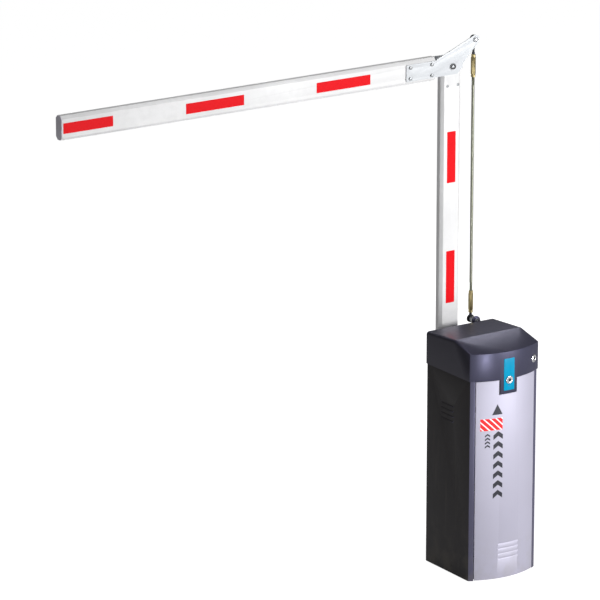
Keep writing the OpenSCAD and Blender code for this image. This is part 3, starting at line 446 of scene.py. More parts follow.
class Finish:
    """A material that is being mixed."""

    def __init__(self, name, **constants):
        self.material = bpy.data.materials.new(name)
        self.material.use_nodes = True
        self.tree = self.material.node_tree
        self.tree.nodes.clear()
        output = self.tree.nodes.new("ShaderNodeOutputMaterial")
        self.shader = self.tree.nodes.new("ShaderNodeBsdfPrincipled")
        self.tree.links.new(self.shader.outputs[0], output.inputs[0])
        self.place = self.node("ShaderNodeTexCoord", output="Object")
        for key, value in constants.items():
            self.give(key.replace("_", " ").title().replace("Ior", "IOR"), value)

    def node(self, kind, settings=None, values=None, output=0):
        made = self.tree.nodes.new(kind)
        for key, value in (settings or {}).items():
            setattr(made, key, value)
        for key, value in (values or {}).items():
            self.feed(made.inputs[key], value)
        return Level(self, made.outputs[output])

    def feed(self, socket, value):
        if isinstance(value, Level):
            self.tree.links.new(value.socket, socket)
        elif socket.type == "RGBA":
            socket.default_value = (*value, 1.0)
        else:
            socket.default_value = value

    def give(self, key, value):
        """Sets or links one of the shader's sockets."""
        self.feed(self.shader.inputs[key], value)

    def stretched(self, stretch):
        return self.node("ShaderNodeMapping", {"vector_type": "POINT"},
                         {"Vector": self.place, "Scale": stretch})

    def noise(self, scale, detail=3.0, stretch=None):
        place = self.stretched(stretch) if stretch else self.place
        return self.node("ShaderNodeTexNoise", {}, {"Vector": place, "Scale": scale,
                                                    "Detail": detail})

    def cells(self, scale, output="Distance", stretch=None):
        place = self.stretched(stretch) if stretch else self.place
        return self.node("ShaderNodeTexVoronoi", {}, {"Vector": place, "Scale": scale},
                         output=output)

    def mix(self, share, first, second):
        """A colour between two colours."""
        return self.node("ShaderNodeMix", {"data_type": "RGBA"}, {0: share, 6: first, 7: second},
                         output=2)

    def facing(self):
        """The way the surface faces."""
        return self.node("ShaderNodeNewGeometry", output="Normal")

    def edges(self, reach):
        """1 on edges and corners, 0 on flat ground."""
        rounded = self.node("ShaderNodeBevel", {"samples": 4}, {"Radius": reach})
        match = self.node("ShaderNodeVectorMath", {"operation": "DOT_PRODUCT"},
                          {0: rounded, 1: self.facing()}, output="Value")
        return (1 - match).rise(0.02, 0.22)

    def bump(self, height, strength, distance):
        self.give("Normal", self.node("ShaderNodeBump", {}, {
            "Strength": strength, "Distance": distance, "Height": height}))


def shade(rgb, factor):
    """A colour made lighter or darker."""
    return tuple(min(c * factor, 1.0) for c in rgb)


def painted_shade_sides(f, tint):
    """Painted shade: the cabinet's sides and back are painted darker than its front posts,
    standing in for the shade they lie in.
    """
    corner, margin = high("body_shell"), 0.004
    aside = abs(f.place.axis("X")) > corner.x - margin
    sideways = abs(f.facing().axis("Y")) < 0.2
    behind = f.place.axis("Y") > corner.y - margin
    return f.mix((aside * sideways + behind) > 0.5, tint,
                 tuple(bpy.context.scene.barrier_colours.side))


def shaded_ends(f, tint):
    """Painted shade: the hood's two ends are painted darker than its face."""
    end = abs(f.facing().axis("X")).rise(0.6, 0.97)
    return f.mix(end * 0.65, tint, tuple(bpy.context.scene.barrier_colours.side))


def powder_coat(name, base, rough=0.4, peel=0.08, edge_light=1.7, grime=0.25, metallic=0.0,
                marks=None):
    """Sprayed coat: orange peel, faint clouding, dust near the ground, rubbed edges with a painted
    highlight where edge_light lightens them, and the painted shade that marks lays.
    """
    f = Finish(name, metallic=metallic, ior=1.5)
    f.give("Specular IOR Level", 0.2)
    cloud = f.noise(3.5, 3)
    mottle = f.noise(45, 4)
    tint = f.mix(cloud.rise(0.3, 0.7), shade(base, 0.93), shade(base, 1.06))
    tint = f.mix(mottle.rise(0.35, 0.75) * 0.5, tint, shade(base, 0.95))
    # marks lays painted shade on the coat: the cabinet's darker sides and back, and the hood's
    # darker ends.
    if marks:
        tint = marks(f, tint)
    height = f.place.axis("Z")
    dust = (1 - height.rise(0.0, 0.28)) * f.noise(16, 5).rise(0.35, 0.7) * grime
    streak = f.noise(5, 4, stretch=(9, 9, 0.7)).rise(0.58, 0.78) * grime * 0.35
    tint = f.mix(dust + streak, tint, (0.22, 0.20, 0.17))
    scratch = f.cells(26, stretch=(1, 1, 14)).rise(0.045, 0.0) * f.noise(7, 2).rise(0.6, 0.7)
    # Edges are toned by edge_light: where it lightens them this is rubbed wear with a painted
    # highlight; on the booms and elbow it is below 1 and only darkens them.
    tint = f.mix(scratch * 0.25 + f.edges(0.0012) * 0.4, tint, shade(base, edge_light))
    f.give("Base Color", tint)
    f.give("Roughness", rough + (mottle - 0.5) * 0.12 + dust * 0.5 + scratch * 0.1)
    f.bump(f.noise(650, 2), peel, 0.0004)
    return f.material


def plated(name, base, rough=0.3, grain=0.35, spangle=0.25, tarnish=(0.25, 0.22, 0.18)):
    """Zinc and other plated or bare metals: crystals, fine scratches and dull hollows."""
    f = Finish(name, metallic=1.0)
    crystal = f.cells(140, output="Color").axis("X")
    wear = f.noise(55, 5)
    tint = f.mix(crystal * spangle, shade(base, 1.08), shade(base, 0.72))
    tint = f.mix(wear.rise(0.5, 0.8) * 0.35, tint, tarnish)
    # Lighter edges: rubbed wear with a painted highlight.
    tint = f.mix(f.edges(0.0006) * 0.5, tint, shade(base, 1.35))
    f.give("Base Color", tint)
    f.give("Roughness", rough + crystal * 0.10 + wear.rise(0.35, 0.8) * 0.18)
    f.bump(f.noise(420, 4, stretch=(1, 1, 0.15)), grain * 0.4, 0.0002)
    return f.material


def turned_steel(name, base, axis_stretch):
    """Machined bar: fine rings round the axis and a light film of oil."""
    f = Finish(name, metallic=1.0)
    rings = f.noise(180, 3, stretch=axis_stretch)
    film = f.noise(24, 4).rise(0.4, 0.75)
    f.give("Base Color", f.mix(film * 0.4, f.mix(rings, shade(base, 0.85), shade(base, 1.1)),
                               (0.30, 0.25, 0.17)))
    f.give("Roughness", 0.22 + rings * 0.12 + film * 0.1)
    f.bump(rings, 0.12, 0.0002)
    return f.material


def casting(name, base, metallic=0.0):
    """Sand-cast or painted cast metal with pits and a rubbed skin, whose lighter edges are rubbed
    wear with a painted highlight.
    """
    f = Finish(name, metallic=metallic)
    sand = f.noise(380, 4)
    cloud = f.noise(14, 4)
    tint = f.mix(cloud.rise(0.3, 0.75), shade(base, 0.85), shade(base, 1.12))
    # Lighter edges: rubbed wear with a painted highlight.
    tint = f.mix(f.edges(0.001) * 0.5, tint, shade(base, 1.8))
    f.give("Base Color", f.mix(sand.rise(0.55, 0.8) * 0.3, tint, shade(base, 0.6)))
    f.give("Roughness", 0.48 + sand * 0.16)
    f.bump(sand + f.cells(240) * 0.5, 0.25, 0.0005)
    return f.material


def moulding(name, base, rough=0.45, texture=0.15):
    """Moulded plastic with a spark-eroded grain."""
    f = Finish(name, ior=1.46)
    grain = f.cells(900)
    cloud = f.noise(22, 4)
    tint = f.mix(cloud.rise(0.3, 0.75), shade(base, 0.92), shade(base, 1.1))
    # Lighter edges: rubbed wear with a painted highlight.
    f.give("Base Color", f.mix(f.edges(0.0008) * 0.35, tint, shade(base, 1.5)))
    f.give("Roughness", rough + grain * 0.12 + cloud.rise(0.5, 0.8) * 0.08)
    f.bump(grain, texture, 0.0003)
    return f.material


def rubber(name, base):
    """Black rubber, matt and a little bloomed."""
    f = Finish(name, ior=1.5)
    bloom = f.noise(38, 5)
    f.give("Base Color", f.mix(bloom.rise(0.45, 0.8) * 0.5, base, shade(base, 2.6)))
    f.give("Roughness", 0.72 + bloom * 0.14)
    f.bump(f.noise(520, 3), 0.2, 0.0004)
    return f.material


def reflective_tape(name, base):
    """Prismatic sheeting: a diamond lattice of seams with small sparkling cells."""
    f = Finish(name, roughness=0.4)
    f.give("Specular IOR Level", 0.06)
    x, z = f.place.axis("X"), f.place.axis("Z")

    def lattice(pitch, share):
        """1 on a share of each crossed seam, 0 between them."""
        return (((x + z) / pitch).part() < share) + (((x - z) / pitch).part() < share) > 0.5

    cell, sheet = 0.0022, 0.028
    seams, wide = lattice(cell, 0.10), lattice(sheet, 0.035)
    sparkle = f.cells(1 / cell, output="Color").axis("X")
    tint = f.mix(sparkle * 0.4, base, shade(base, 0.78))
    tint = f.mix(seams * 0.08 + wide * 0.10, tint, (min(base[0] * 1.1, 1.0), 0.08, 0.07))
    f.give("Base Color", f.mix(f.noise(12, 4).rise(0.6, 0.8) * 0.2, tint, shade(base, 0.6)))
    f.give("Roughness", 0.34 + sparkle * 0.12)
    f.bump(1 - seams, 0.1, 0.0001)
    return f.material


def film(name, base):
    """Printed film with a satin face."""
    f = Finish(name, coat_weight=0.03, coat_roughness=0.2)
    f.give("Specular IOR Level", 0.1)
    cloud = f.noise(30, 3)
    tint = f.mix(cloud, shade(base, 0.94), shade(base, 1.07))
    # Lighter edges: rubbed wear with a painted highlight.
    f.give("Base Color", f.mix(f.edges(0.0006) * 0.4, tint, shade(base, 1.4)))
    f.give("Roughness", 0.36 + f.noise(140, 3) * 0.1)
    f.bump(f.noise(800, 2), 0.05, 0.0002)
    return f.material


def door_marks(f, tint):
    """Plain printed marks on the door: an upward arrow, a striped block and rows of chevrons."""
    ink = bpy.context.scene.barrier_colours.mark
    warning = bpy.context.scene.barrier_colours.tape
    x, z = f.place.axis("X"), f.place.axis("Z")
    front = f.facing().axis("Y") < -0.3

    def box(x0, x1, z0, z1):
        return (x > x0) * (x < x1) * (z > z0) * (z < z1) * front

    def chevrons(x0, x1, z0, z1, count, steep=0.75, bold=0.48):
        """A column of whole chevrons pointing up."""
        pitch = (z1 - z0) / count
        climb = z + abs(x - (x0 + x1) / 2) * steep - z0
        return box(x0, x1, z0 - 0.02, z1) * (climb > 0) * (climb < z1 - z0) * (
            (climb / pitch).part() < bold)

    foot, tip, arrow_x, flare = 0.727, 0.773, -0.0595, 0.51
    arrow = (z > foot) * (abs(x - arrow_x) < (tip - z) * flare) * front
    printed = arrow + chevrons(-0.076, -0.033, 0.376, 0.677, 7)
    printed = printed + chevrons(-0.112, -0.090, 0.592, 0.656, 4)
    plate = box(-0.131, -0.035, 0.660, 0.712)
    stripe_pitch, stripe_share = 0.026, 0.72
    stripes = ((x + z) / stripe_pitch).part() < stripe_share
    tint = f.mix(plate, tint, f.mix(stripes, (0.85, 0.85, 0.87), warning))
    return f.mix(printed, tint, ink)


def flaked_coat(name, base):
    """Metallic door coat with fine flakes, carrying the printed marks."""
    f = Finish(name, metallic=0.35, coat_weight=0.08, coat_roughness=0.35)
    flake = f.cells(2600, output="Color").axis("X")
    cloud = f.noise(2.5, 3)
    tint = f.mix(cloud.rise(0.3, 0.7), shade(base, 0.96), shade(base, 1.04))
    tint = f.mix(flake * 0.18, tint, shade(base, 1.25))
    # Lighter edges: rubbed wear with a painted highlight.
    tint = f.mix(f.edges(0.0012) * 0.4, tint, shade(base, 1.3))
    tint = door_marks(f, tint)
    dust = (1 - f.place.axis("Z").rise(0.0, 0.25)) * f.noise(16, 5).rise(0.35, 0.7) * 0.25
    f.give("Base Color", f.mix(dust, tint, (0.34, 0.32, 0.29)))
    f.give("Roughness", 0.54 + flake * 0.08 + dust * 0.3)
    f.bump(f.noise(620, 2), 0.05, 0.0003)
    return f.material


FINISHES = {}


def mix_finishes():
    """Mixes every finish once, under the frame's slot names."""
    hues = bpy.context.scene.barrier_colours
    steel = (0.62, 0.62, 0.63)
    FINISHES.update({
        # The cabinet's sides and back get painted shade through marks.
        "cabinet_grey": powder_coat("cabinet_coat", tuple(hues.cabinet), rough=0.42,
                                    metallic=0.3, marks=painted_shade_sides),
        # The hood's high edge_light paints a highlight along its softened edges, and its ends get
        # painted shade.
        "hood_grey": powder_coat("hood_coat", tuple(hues.hood), rough=0.33, peel=0.03,
                                 edge_light=2.2, grime=0.04, metallic=0.6, marks=shaded_ends),
        "door_silver": flaked_coat("door_coat", tuple(hues.door)),
        "plate_cyan": film("lock_film", tuple(hues.facing)),
        "bright_chrome": plated("bright_chrome", (0.88, 0.88, 0.90), rough=0.09, grain=0.05,
                                spangle=0.03),
        "zinc_steel": plated("zinc_plate", (0.66, 0.67, 0.69), rough=0.26),
        "dull_bolt": plated("dull_bolt", (0.27, 0.28, 0.29), rough=0.36, spangle=0.2),
        "yellow_zinc": plated("yellow_zinc", (0.52, 0.43, 0.22), rough=0.3, spangle=0.3,
                              tarnish=(0.42, 0.36, 0.16)),
        "dark_steel": casting("dark_steel", (0.050, 0.052, 0.056), metallic=0.6),
        "chassis_steel": plated("galvanised_sheet", (0.50, 0.52, 0.54), rough=0.42, spangle=0.6),
        "boom_white": powder_coat("boom_coat", tuple(hues.boom), rough=0.3, edge_light=0.80,
                                  grime=0.08),
        "elbow_white": powder_coat("elbow_coat", tuple(hues.elbow), rough=0.3, edge_light=0.72,
                                   grime=0.08),
        "strip_red": reflective_tape("red_tape", tuple(hues.tape)),
        "cap_grey": moulding("cap_plastic", (0.80, 0.78, 0.86)),
        "drive_cast": casting("cast_alloy", (0.42, 0.43, 0.44), metallic=0.8),
        "motor_blue": casting("motor_paint", (0.045, 0.10, 0.19)),
        "black_plastic": moulding("black_plastic", (0.016, 0.016, 0.018)),
        "box_grey": moulding("box_plastic", (0.56, 0.56, 0.53), rough=0.38),
        "black_rubber": rubber("black_rubber", (0.013, 0.013, 0.014)),
        "bronze": turned_steel("worm_bronze", (0.72, 0.46, 0.18), (1, 6, 1)),
        "sensor_orange": moulding("sensor_plastic", (0.80, 0.25, 0.03), rough=0.35),
        "shaft_steel": turned_steel("ground_steel", steel, (1, 14, 1)),
        "rod_zinc": plated("rod_zinc", (0.30, 0.31, 0.25), rough=0.3, spangle=0.2),
        # Near black, laid in the pin and pivot heads' grooves and on the key plugs as painted
        # shade.
        "painted_shade": casting("painted_shade", (0.030, 0.030, 0.034), metallic=0.5),
    })


FRAME_FINISHES = {
    "dark_steel": ("base_plate", "drive_lever", "crank_arm", "boom_hub", "hood_lock_cam"),
    "chassis_steel": ("chassis_frame", "front_bearing_plate", "rear_bearing_plate",
                      "front_header", "sensor_bracket"),
    "drive_cast": ("shaft_bearings", "gearbox_housing", "gearbox_cover", "boom_inserts"),
    "motor_blue": ("drive_motor",),
    "black_plastic": ("motor_fan_cover", "hand_knob"),
    "cap_grey": ("elbow_packers",),
    "box_grey": ("control_box", "terminal_rail"),
    "black_rubber": ("stop_buffers", "hood_pads", "cable_grommet"),
    "sensor_orange": ("limit_sensors",),
    "zinc_steel": ("door_hinge_pins", "cabinet_fasteners", "door_knuckles", "sensor_cam",
                   "connecting_rod"),
    "shaft_steel": ("main_shaft", "output_shaft", "worm_shaft"),
    "bronze": ("worm_wheel",),
}


# ---------------------------------------------------------------------------
# Shapes that the pieces share
# ---------------------------------------------------------------------------

class Plan:
    """The cabinet's outline seen from above: straight sides, square back and a bowed front."""

    def __init__(self):
        sizes = bpy.context.scene.barrier_cabinet
        self.half = high("base_plate").x + sizes.skin
        self.back = high("base_plate").y + sizes.skin
        self.front = low("door_panel").y + sizes.louvre_reach
        bow = -self.back - self.front
        self.radius = (self.half ** 2 + bow ** 2) / (2 * bow)
        self.centre = self.front + self.radius

    def face(self, x, grow=0.0):
        """The front face's Y at a place x, for an outline grown by an amount."""
        return self.centre - math.sqrt((self.radius + grow) ** 2 - x ** 2)

    def swing(self, x, grow=0.0):
        """Degrees round the bow's centre from the middle of the front to x."""
        return math.degrees(math.asin(x / (self.radius + grow)))

    def bow(self, x0, x1, z, grow=0.0, steps=24):
        """The arc of the front face from x0 to x1."""
        return Arc((0, self.centre, z), self.swing(x1, grow) - self.swing(x0, grow), steps)

    def spot(self, x, z, grow=0.0):
        return Vector((x, self.face(x, grow), z))


def facing_out(piece, core):
    """Turns a sheet's normals away from a point."""
    away = sum((p.center - Vector(core)).dot(p.normal) * p.area for p in piece.data.polygons)
    if away < 0:
        edit(piece)
        bpy.ops.mesh.flip_normals()
        put_down()
    return piece


def walled(name, start, moves, step, thickness, core):
    """An open outline drawn out by a step, with its wall on the side of a core point."""
    piece = draw(name, start, moves)
    pull(step)
    bpy.ops.mesh.select_all(action="SELECT")
    bpy.ops.mesh.normals_make_consistent(inside=False)
    put_down()
    facing_out(settle(piece), core)
    return modify(piece, "SOLIDIFY", thickness=thickness, offset=-1, use_even_offset=True)


def octagon(centre, half_a, half_b, chamfer, along_a, along_b):
    """Corners of a chamfered boom section in the plane of two directions."""
    a, b, c = half_a, half_b, chamfer
    corners = ((a - c, -b), (a, c - b), (a, b - c), (a - c, b),
               (c - a, b), (-a, b - c), (-a, c - b), (c - a, -b))
    return [Vector(centre) + along_a * u + along_b * v for u, v in corners]


def boom(name, node, along, holes):
    """A chamfered tube with its long corners softened and its bolt holes cut."""
    sizes = bpy.context.scene.barrier_arm
    a, b = low(node), high(node)
    across = X if along == Z else Z
    start = Vector((0, (a.y + b.y) / 2, a.z)) if along == Z else Vector(
        (a.x, (a.y + b.y) / 2, (a.z + b.z) / 2))
    half = (b - a).dot(across) / 2
    corners = octagon(start, half, (b.y - a.y) / 2, sizes.chamfer, across, Y)
    length = (b - a).dot(along)
    tube = walled(name, corners[0], corners[1:] + corners[:1], along * length, sizes.wall,
                  start + along * length / 2)
    tools = [rod("hole", (x, a.y - 0.002, z), Y, r, b.y - a.y + 0.004, 32) for x, z, r in holes]
    return soften(cut(tube, *tools), sizes.soft_edge, 3)


def strips(name, node):
    """Reflective strips with rounded corners, one for each box of the node."""
    pieces = []
    for a, b in islands(node):
        strip = block("strip", a, b)
        pick_edges(strip, lambda m, d: abs(d.y) > 0.9)
        round_picked(bpy.context.scene.barrier_arm.tape_corner)
        pieces.append(strip)
    return join(name, *pieces)


def islands(node):
    """(lowest, highest) corner of every separate solid of a frame node."""
    mesh = bmesh.new()
    mesh.from_mesh(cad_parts[node].data)
    bmesh.ops.remove_doubles(mesh, verts=mesh.verts, dist=TINY)
    left, boxes = set(mesh.verts), []
    while left:
        group, queue = [], [left.pop()]
        while queue:
            vert = queue.pop()
            group.append(vert.co.copy())
            for edge in vert.link_edges:
                other = edge.other_vert(vert)
                if other in left:
                    left.remove(other)
                    queue.append(other)
        boxes.append((Vector([min(c[i] for c in group) for i in range(3)]),
                      Vector([max(c[i] for c in group) for i in range(3)])))
    mesh.free()
    return sorted(boxes, key=lambda pair: tuple(round(c, 5) for c in (*pair[0], *pair[1])))


def end_of(box):
    """The middle of a box's front end."""
    a, b = box
    return Vector(((a.x + b.x) / 2, a.y, (a.z + b.z) / 2))


def off_axis(point, foot):
    """How far a point is from the axis that runs back from foot."""
    return math.hypot(point.x - foot.x, point.z - foot.z)


def hexagon(name, foot, along, radius, height, chamfer=0.0008):
    """A six-sided head or nut with both rims chamfered."""
    piece = rod(name, foot, along, radius, height, 6)
    along = Vector(along).normalized()
    pick_edges(piece, lambda m, d: abs(d.dot(along)) < 0.1)
    round_picked(chamfer, 2)
    return piece


def bolt(name, foot, along, radius, head, shank, length, nut_at=None, nut=0.0):
    """A hexagon bolt from the outer face of its head, with a washer, a threaded end and a nut."""
    foot, along = Vector(foot), Vector(along).normalized()
    washer = head * 0.28
    parts = [
        hexagon(name, foot, along, radius * 0.93, head - washer),
        turned("washer", foot + along * (head - washer), along,
               [(0, 0), (radius * 0.97, 0), (radius, washer * 0.3), (radius, washer), (0, washer)],
               32),
    ]
    turns = 8
    pitch = shank * 0.22
    start = length - turns * pitch - pitch
    profile = [(0, head), (shank, head), (shank, start)]
    for i in range(turns):
        d = start + pitch * i
        profile += [(shank * 0.88, d + pitch * 0.5), (shank, d + pitch)]
    profile += [(shank * 0.8, length), (0, length)]
    parts.append(turned("shank", foot, along, profile, 24))
    if nut_at is not None:
        parts.append(hexagon("nut", foot + along * nut_at, along, radius * 0.93, nut))
    return join(name, *parts)


def repeat(name, piece, places):
    """A piece modelled at the first place and copied to the others."""
    first = Vector(places[0])
    copies = [copy_of(piece, "copy", Matrix.Translation(Vector(p) - first)) for p in places[1:]]
    return join(name, piece, *copies)


def two_finishes(piece, first, second, wanted):
    """Gives the faces for which wanted(middle) holds a second finish."""
    coat(piece, first, second)
    for face in piece.data.polygons:
        face.material_index = 1 if wanted(face.center) else 0
    return piece


class Maker(bpy.types.Operator):
    """Base of the barrier's operators"""
    bl_options = {"REGISTER", "UNDO"}

    def execute(self, context):
        self.make(context)
        return {"FINISHED"}


# ---------------------------------------------------------------------------
# Cabinet
# ---------------------------------------------------------------------------

class BARRIER_OT_finishes(Maker):
    """Mix every finish and lay it on the frame's own nodes"""
    bl_idname = "barrier.finishes"
    bl_label = "Finishes"

    def make(self, context):
        mix_finishes()
        for name, nodes in FRAME_FINISHES.items():
            for node in nodes:
                coat(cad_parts[node], name)


class BARRIER_OT_cabinet_skin(Maker):
    """Fold the cabinet's skin from one post round the back to the other, with its louvres"""
    bl_idname = "barrier.cabinet_skin"
    bl_label = "Cabinet skin"
    lowest_louvre = 0.668
    louvre_middle = 0.004

    def make(self, context):
        sizes, plan = context.scene.barrier_cabinet, Plan()
        top = high("body_shell").z
        post = plan.half - sizes.post
        corner, back = sizes.back_corner, plan.back
        inner = plan.spot(post, 0, -sizes.jamb)
        skin = walled("cabinet_skin", (-post, inner.y, 0), [
            plan.spot(-post, 0),
            plan.bow(-post, -plan.half, 0, steps=3),
            (-plan.half, back - corner, 0),
            Arc((corner - plan.half, back - corner, 0), -90, 6),
            (plan.half - corner, back, 0),
            Arc((plan.half - corner, back - corner, 0), -90, 6),
            (plan.half, -back, 0),
            plan.bow(plan.half, post, 0, steps=3),
            inner,
        ], Z * top, sizes.skin, (0, 0, top / 2))
        shaft = middle("main_shaft").z
        notch = sizes.shaft_notch
        tools = [rod("notch", (0, 0, shaft), Y, notch, back + PAST),
                 block("notch_top", (-notch, 0, shaft), (notch, back + PAST, top + PAST))]
        louvres = [(side, self.lowest_louvre + i * sizes.louvre_pitch)
                   for side in (-1, 1) for i in range(sizes.louvres)]
        centre, slot, deep = self.louvre_middle, sizes.side_louvre / 2 - 0.002, 0.004
        tools += [block("slot", (side * (plan.half - deep), centre - slot, z),
                        (side * (plan.half + deep), centre + slot, z + sizes.louvre_slot))
                  for side, z in louvres]
        cut(skin, *tools)
        soften(skin, BREAK)
        pressings = [self.louvre(sizes, plan, side, z) for side, z in louvres]
        skin = join("cabinet_skin", skin, *pressings)
        hand_over(skin, "cabinet", "cabinet_grey", "body_shell")

    def louvre(self, sizes, plan, side, z):
        """One louvre pressed out of the side: a wedge, hollowed from below."""
        reach, height = sizes.louvre_reach * side, sizes.louvre_height
        y = self.louvre_middle - sizes.side_louvre / 2
        x = plan.half * side
        root, wall = x - side * 0.0005, 0.0009
        piece = solid("louvre", (root, y, z), [
            (root, y, z + height), (x, y, z + height), (x + reach, y, z + height * 0.1),
            (x + reach, y, z), (root, y, z)], Y * sizes.side_louvre)
        pick_edges(piece, lambda m, d: abs(m.x) > abs(x + reach) - 0.0002 and abs(d.z) > 0.9)
        round_picked(0.0011, 3)
        pick_faces(piece, lambda m, n: n.z < -0.9)
        bpy.ops.mesh.inset(thickness=wall, depth=0)
        pull((-side * wall, 0, height * 0.42))
        put_down()
        return piece


class BARRIER_OT_door(Maker):
    """Roll the door to the cabinet's bow, fold its edges and press its louvres"""
    bl_idname = "barrier.door"
    bl_label = "Door"
    lowest_louvre = 0.084
    hem_gap = 0.024

    def make(self, context):
        sizes, plan = context.scene.barrier_cabinet, Plan()
        clear = 0.003
        tab = context.scene.barrier_hood.tab / 2 + clear
        edge, z0, z1 = high("door_panel").x, low("door_panel").z, high("door_panel").z
        inner = plan.spot(edge, z0, -sizes.hem)
        door = walled("door_skin", plan.spot(-edge, z0), [
            plan.bow(-edge, edge, z0, steps=64), inner],
            Z * (z1 - z0), sizes.skin, (0, 0.3, (z0 + z1) / 2))
        tab_x = middle("lock_plate").x
        louvre_z = [self.lowest_louvre + i * sizes.louvre_pitch for i in range(sizes.louvres)]
        half = sizes.door_louvre / 2
        tools = [block("recess", (tab_x - tab, plan.front - PAST, low("hood_shell").z - clear),
                       (tab_x + tab, -plan.back, z1 + PAST))]
        tools += [block("slot", (0.002 - half, plan.front - 0.005, z),
                        (half - 0.002, plan.front + 0.02, z + sizes.louvre_slot))
                  for z in louvre_z]
        cut(door, *tools)
        lower = self.hem(sizes, plan, edge - self.hem_gap, z0)
        upper = self.hem(sizes, plan, edge - self.hem_gap, z1 - sizes.skin)
        cut(upper, block("recess", (tab_x - tab, plan.front - PAST, z1 - 2 * PAST),
                         (tab_x + tab, -plan.back + 2 * PAST, z1 + PAST)))
        soften(door, BREAK)
        louvres = [self.louvre(sizes, plan, half, z) for z in louvre_z]
        door = join("door_skin", door, upper, lower, *louvres)
        hand_over(door, "door", "door_silver", "door_panel")

    def hem(self, sizes, plan, reach, z):
        """A folded strip along the door's top or bottom edge."""
        outer, inner = -sizes.skin, -sizes.hem
        start = plan.spot(-reach, z, outer)
        return solid("hem", start, [
            plan.bow(-reach, reach, z, outer, 32), plan.spot(reach, z, inner),
            plan.bow(reach, -reach, z, inner, 32), start], Z * sizes.skin)

    def louvre(self, sizes, plan, half, z):
        """A louvre blade spun round the bow's centre."""
        height, reach = sizes.louvre_height, sizes.louvre_reach

        def out(grow, dz):
            return Vector((0, plan.centre, z + dz)) + Matrix.Rotation(
                math.radians(-plan.swing(half)), 3, "Z") @ Vector(
                (0, -plan.radius - grow, 0))

        profile = [out(-0.001, height), out(0.0006, height), out(reach, 0.0008), out(reach, 0),
                   out(reach - 0.0011, 0), out(-0.001, height - 0.002)]
        piece = draw("louvre", profile[0], profile[1:] + profile[:1])
        fill()
        bpy.ops.mesh.spin(steps=20, angle=-math.radians(2 * plan.swing(half)),
                          center=(0, plan.centre, z), axis=Z)
        return close(piece)


class BARRIER_OT_hood(Maker):
    """Shape the hood: upright front band, slanted face, falling roof and the tab over the door"""
    bl_idname = "barrier.hood"
    bl_label = "Hood"

    def make(self, context):
        sizes, plan = context.scene.barrier_hood, Plan()
        a, b = low("hood_shell"), high("hood_shell")
        grow = b.x - plan.half
        skirt = a.z + sizes.tab_drop
        under, lap = 0.005, 0.012
        foot = a.z - under
        start = plan.spot(-b.x, foot, grow)
        hood = draw("hood_cover", start, [plan.bow(-b.x, b.x, foot, grow, 48), start])
        fill()
        pull(Z * (skirt + sizes.band - foot))
        close(hood)
        r = sizes.edge
        crest_y = -plan.back + sizes.crest_behind
        knobs = []
        for side in (-1, 1):
            x = side * (b.x - r)
            for y, z in ((crest_y, b.z - r), (b.y - r, b.z - r - sizes.tail_drop)):
                put_down()
                bpy.ops.mesh.primitive_uv_sphere_add(segments=48, ring_count=24, radius=r,
                                                     location=(x, y, z))
                knobs.append(settle(bpy.context.object))
            knobs.append(rod("corner", (x, b.y - r, foot), Z, r, 0.01, 48))
        hood = join("hood_cover", hood, *knobs)
        edit(hood)
        bpy.ops.mesh.convex_hull()
        bpy.ops.mesh.normals_make_consistent(inside=False)
        pick_faces(hood, lambda m, n: n.z < -0.9 and m.z < foot + TINY)
        bpy.ops.mesh.delete(type="FACE")
        put_down()
        modify(hood, "SOLIDIFY", thickness=sizes.wall, offset=-1, use_even_offset=True)
        tab_x = middle("lock_plate").x
        cut(hood, self.skirt_tool(sizes, tab_x, a.z, skirt, foot),
            block("skirt_back", (-FAR, plan.front + lap, foot - PAST), (FAR, FAR, skirt)),
            *self.bores(context, plan, a))
        soften(hood, 0.0014, 3, 30)
        hand_over(hood, "hood", "hood_grey", "hood_shell", smooth=25)

    def skirt_tool(self, sizes, tab_x, tab_z, skirt, foot):
        """What is cut away round the tab, with the tab's lower corners rounded."""
        y, low_z, r = -FAR, foot - PAST, 0.004
        x0, x1 = tab_x - sizes.tab / 2, tab_x + sizes.tab / 2
        return solid("skirt_front", (-FAR, y, low_z), [
            (-FAR, y, skirt), (x0, y, skirt), (x0, y, tab_z + r),
            Arc((x0 + r, y, tab_z + r), 90, 4, -Y), (x1 - r, y, tab_z),
            Arc((x1 - r, y, tab_z + r), 90, 4, -Y), (x1, y, skirt), (FAR, y, skirt),
            (FAR, y, low_z), (-FAR, y, low_z)], Y * 0.12)

    def bores(self, context, plan, a):
        """The notch over the main shaft and the two barrel holes."""
        notch = context.scene.barrier_cabinet.shaft_notch + 0.002
        shaft = middle("main_shaft").z
        barrel = context.scene.barrier_hood.barrel
        lock = middle("hood_lock_barrel")
        release = middle("release_lock_barrel")
        outward = Vector((release.x, release.y - plan.centre, 0)).normalized()
        inside, behind = 0.05, 0.25
        return [rod("notch", (0, inside, shaft), Y, notch, behind - inside),
                block("notch_foot", (-notch, inside, a.z - 2 * PAST), (notch, behind, shaft)),
                rod("bore", (lock.x, a.y - 2 * PAST, lock.z), Y, barrel, 4 * PAST),
                rod("bore", Vector((0, plan.centre, release.z))
                    + outward * (plan.radius - 2 * PAST), outward, barrel, 5 * PAST)]


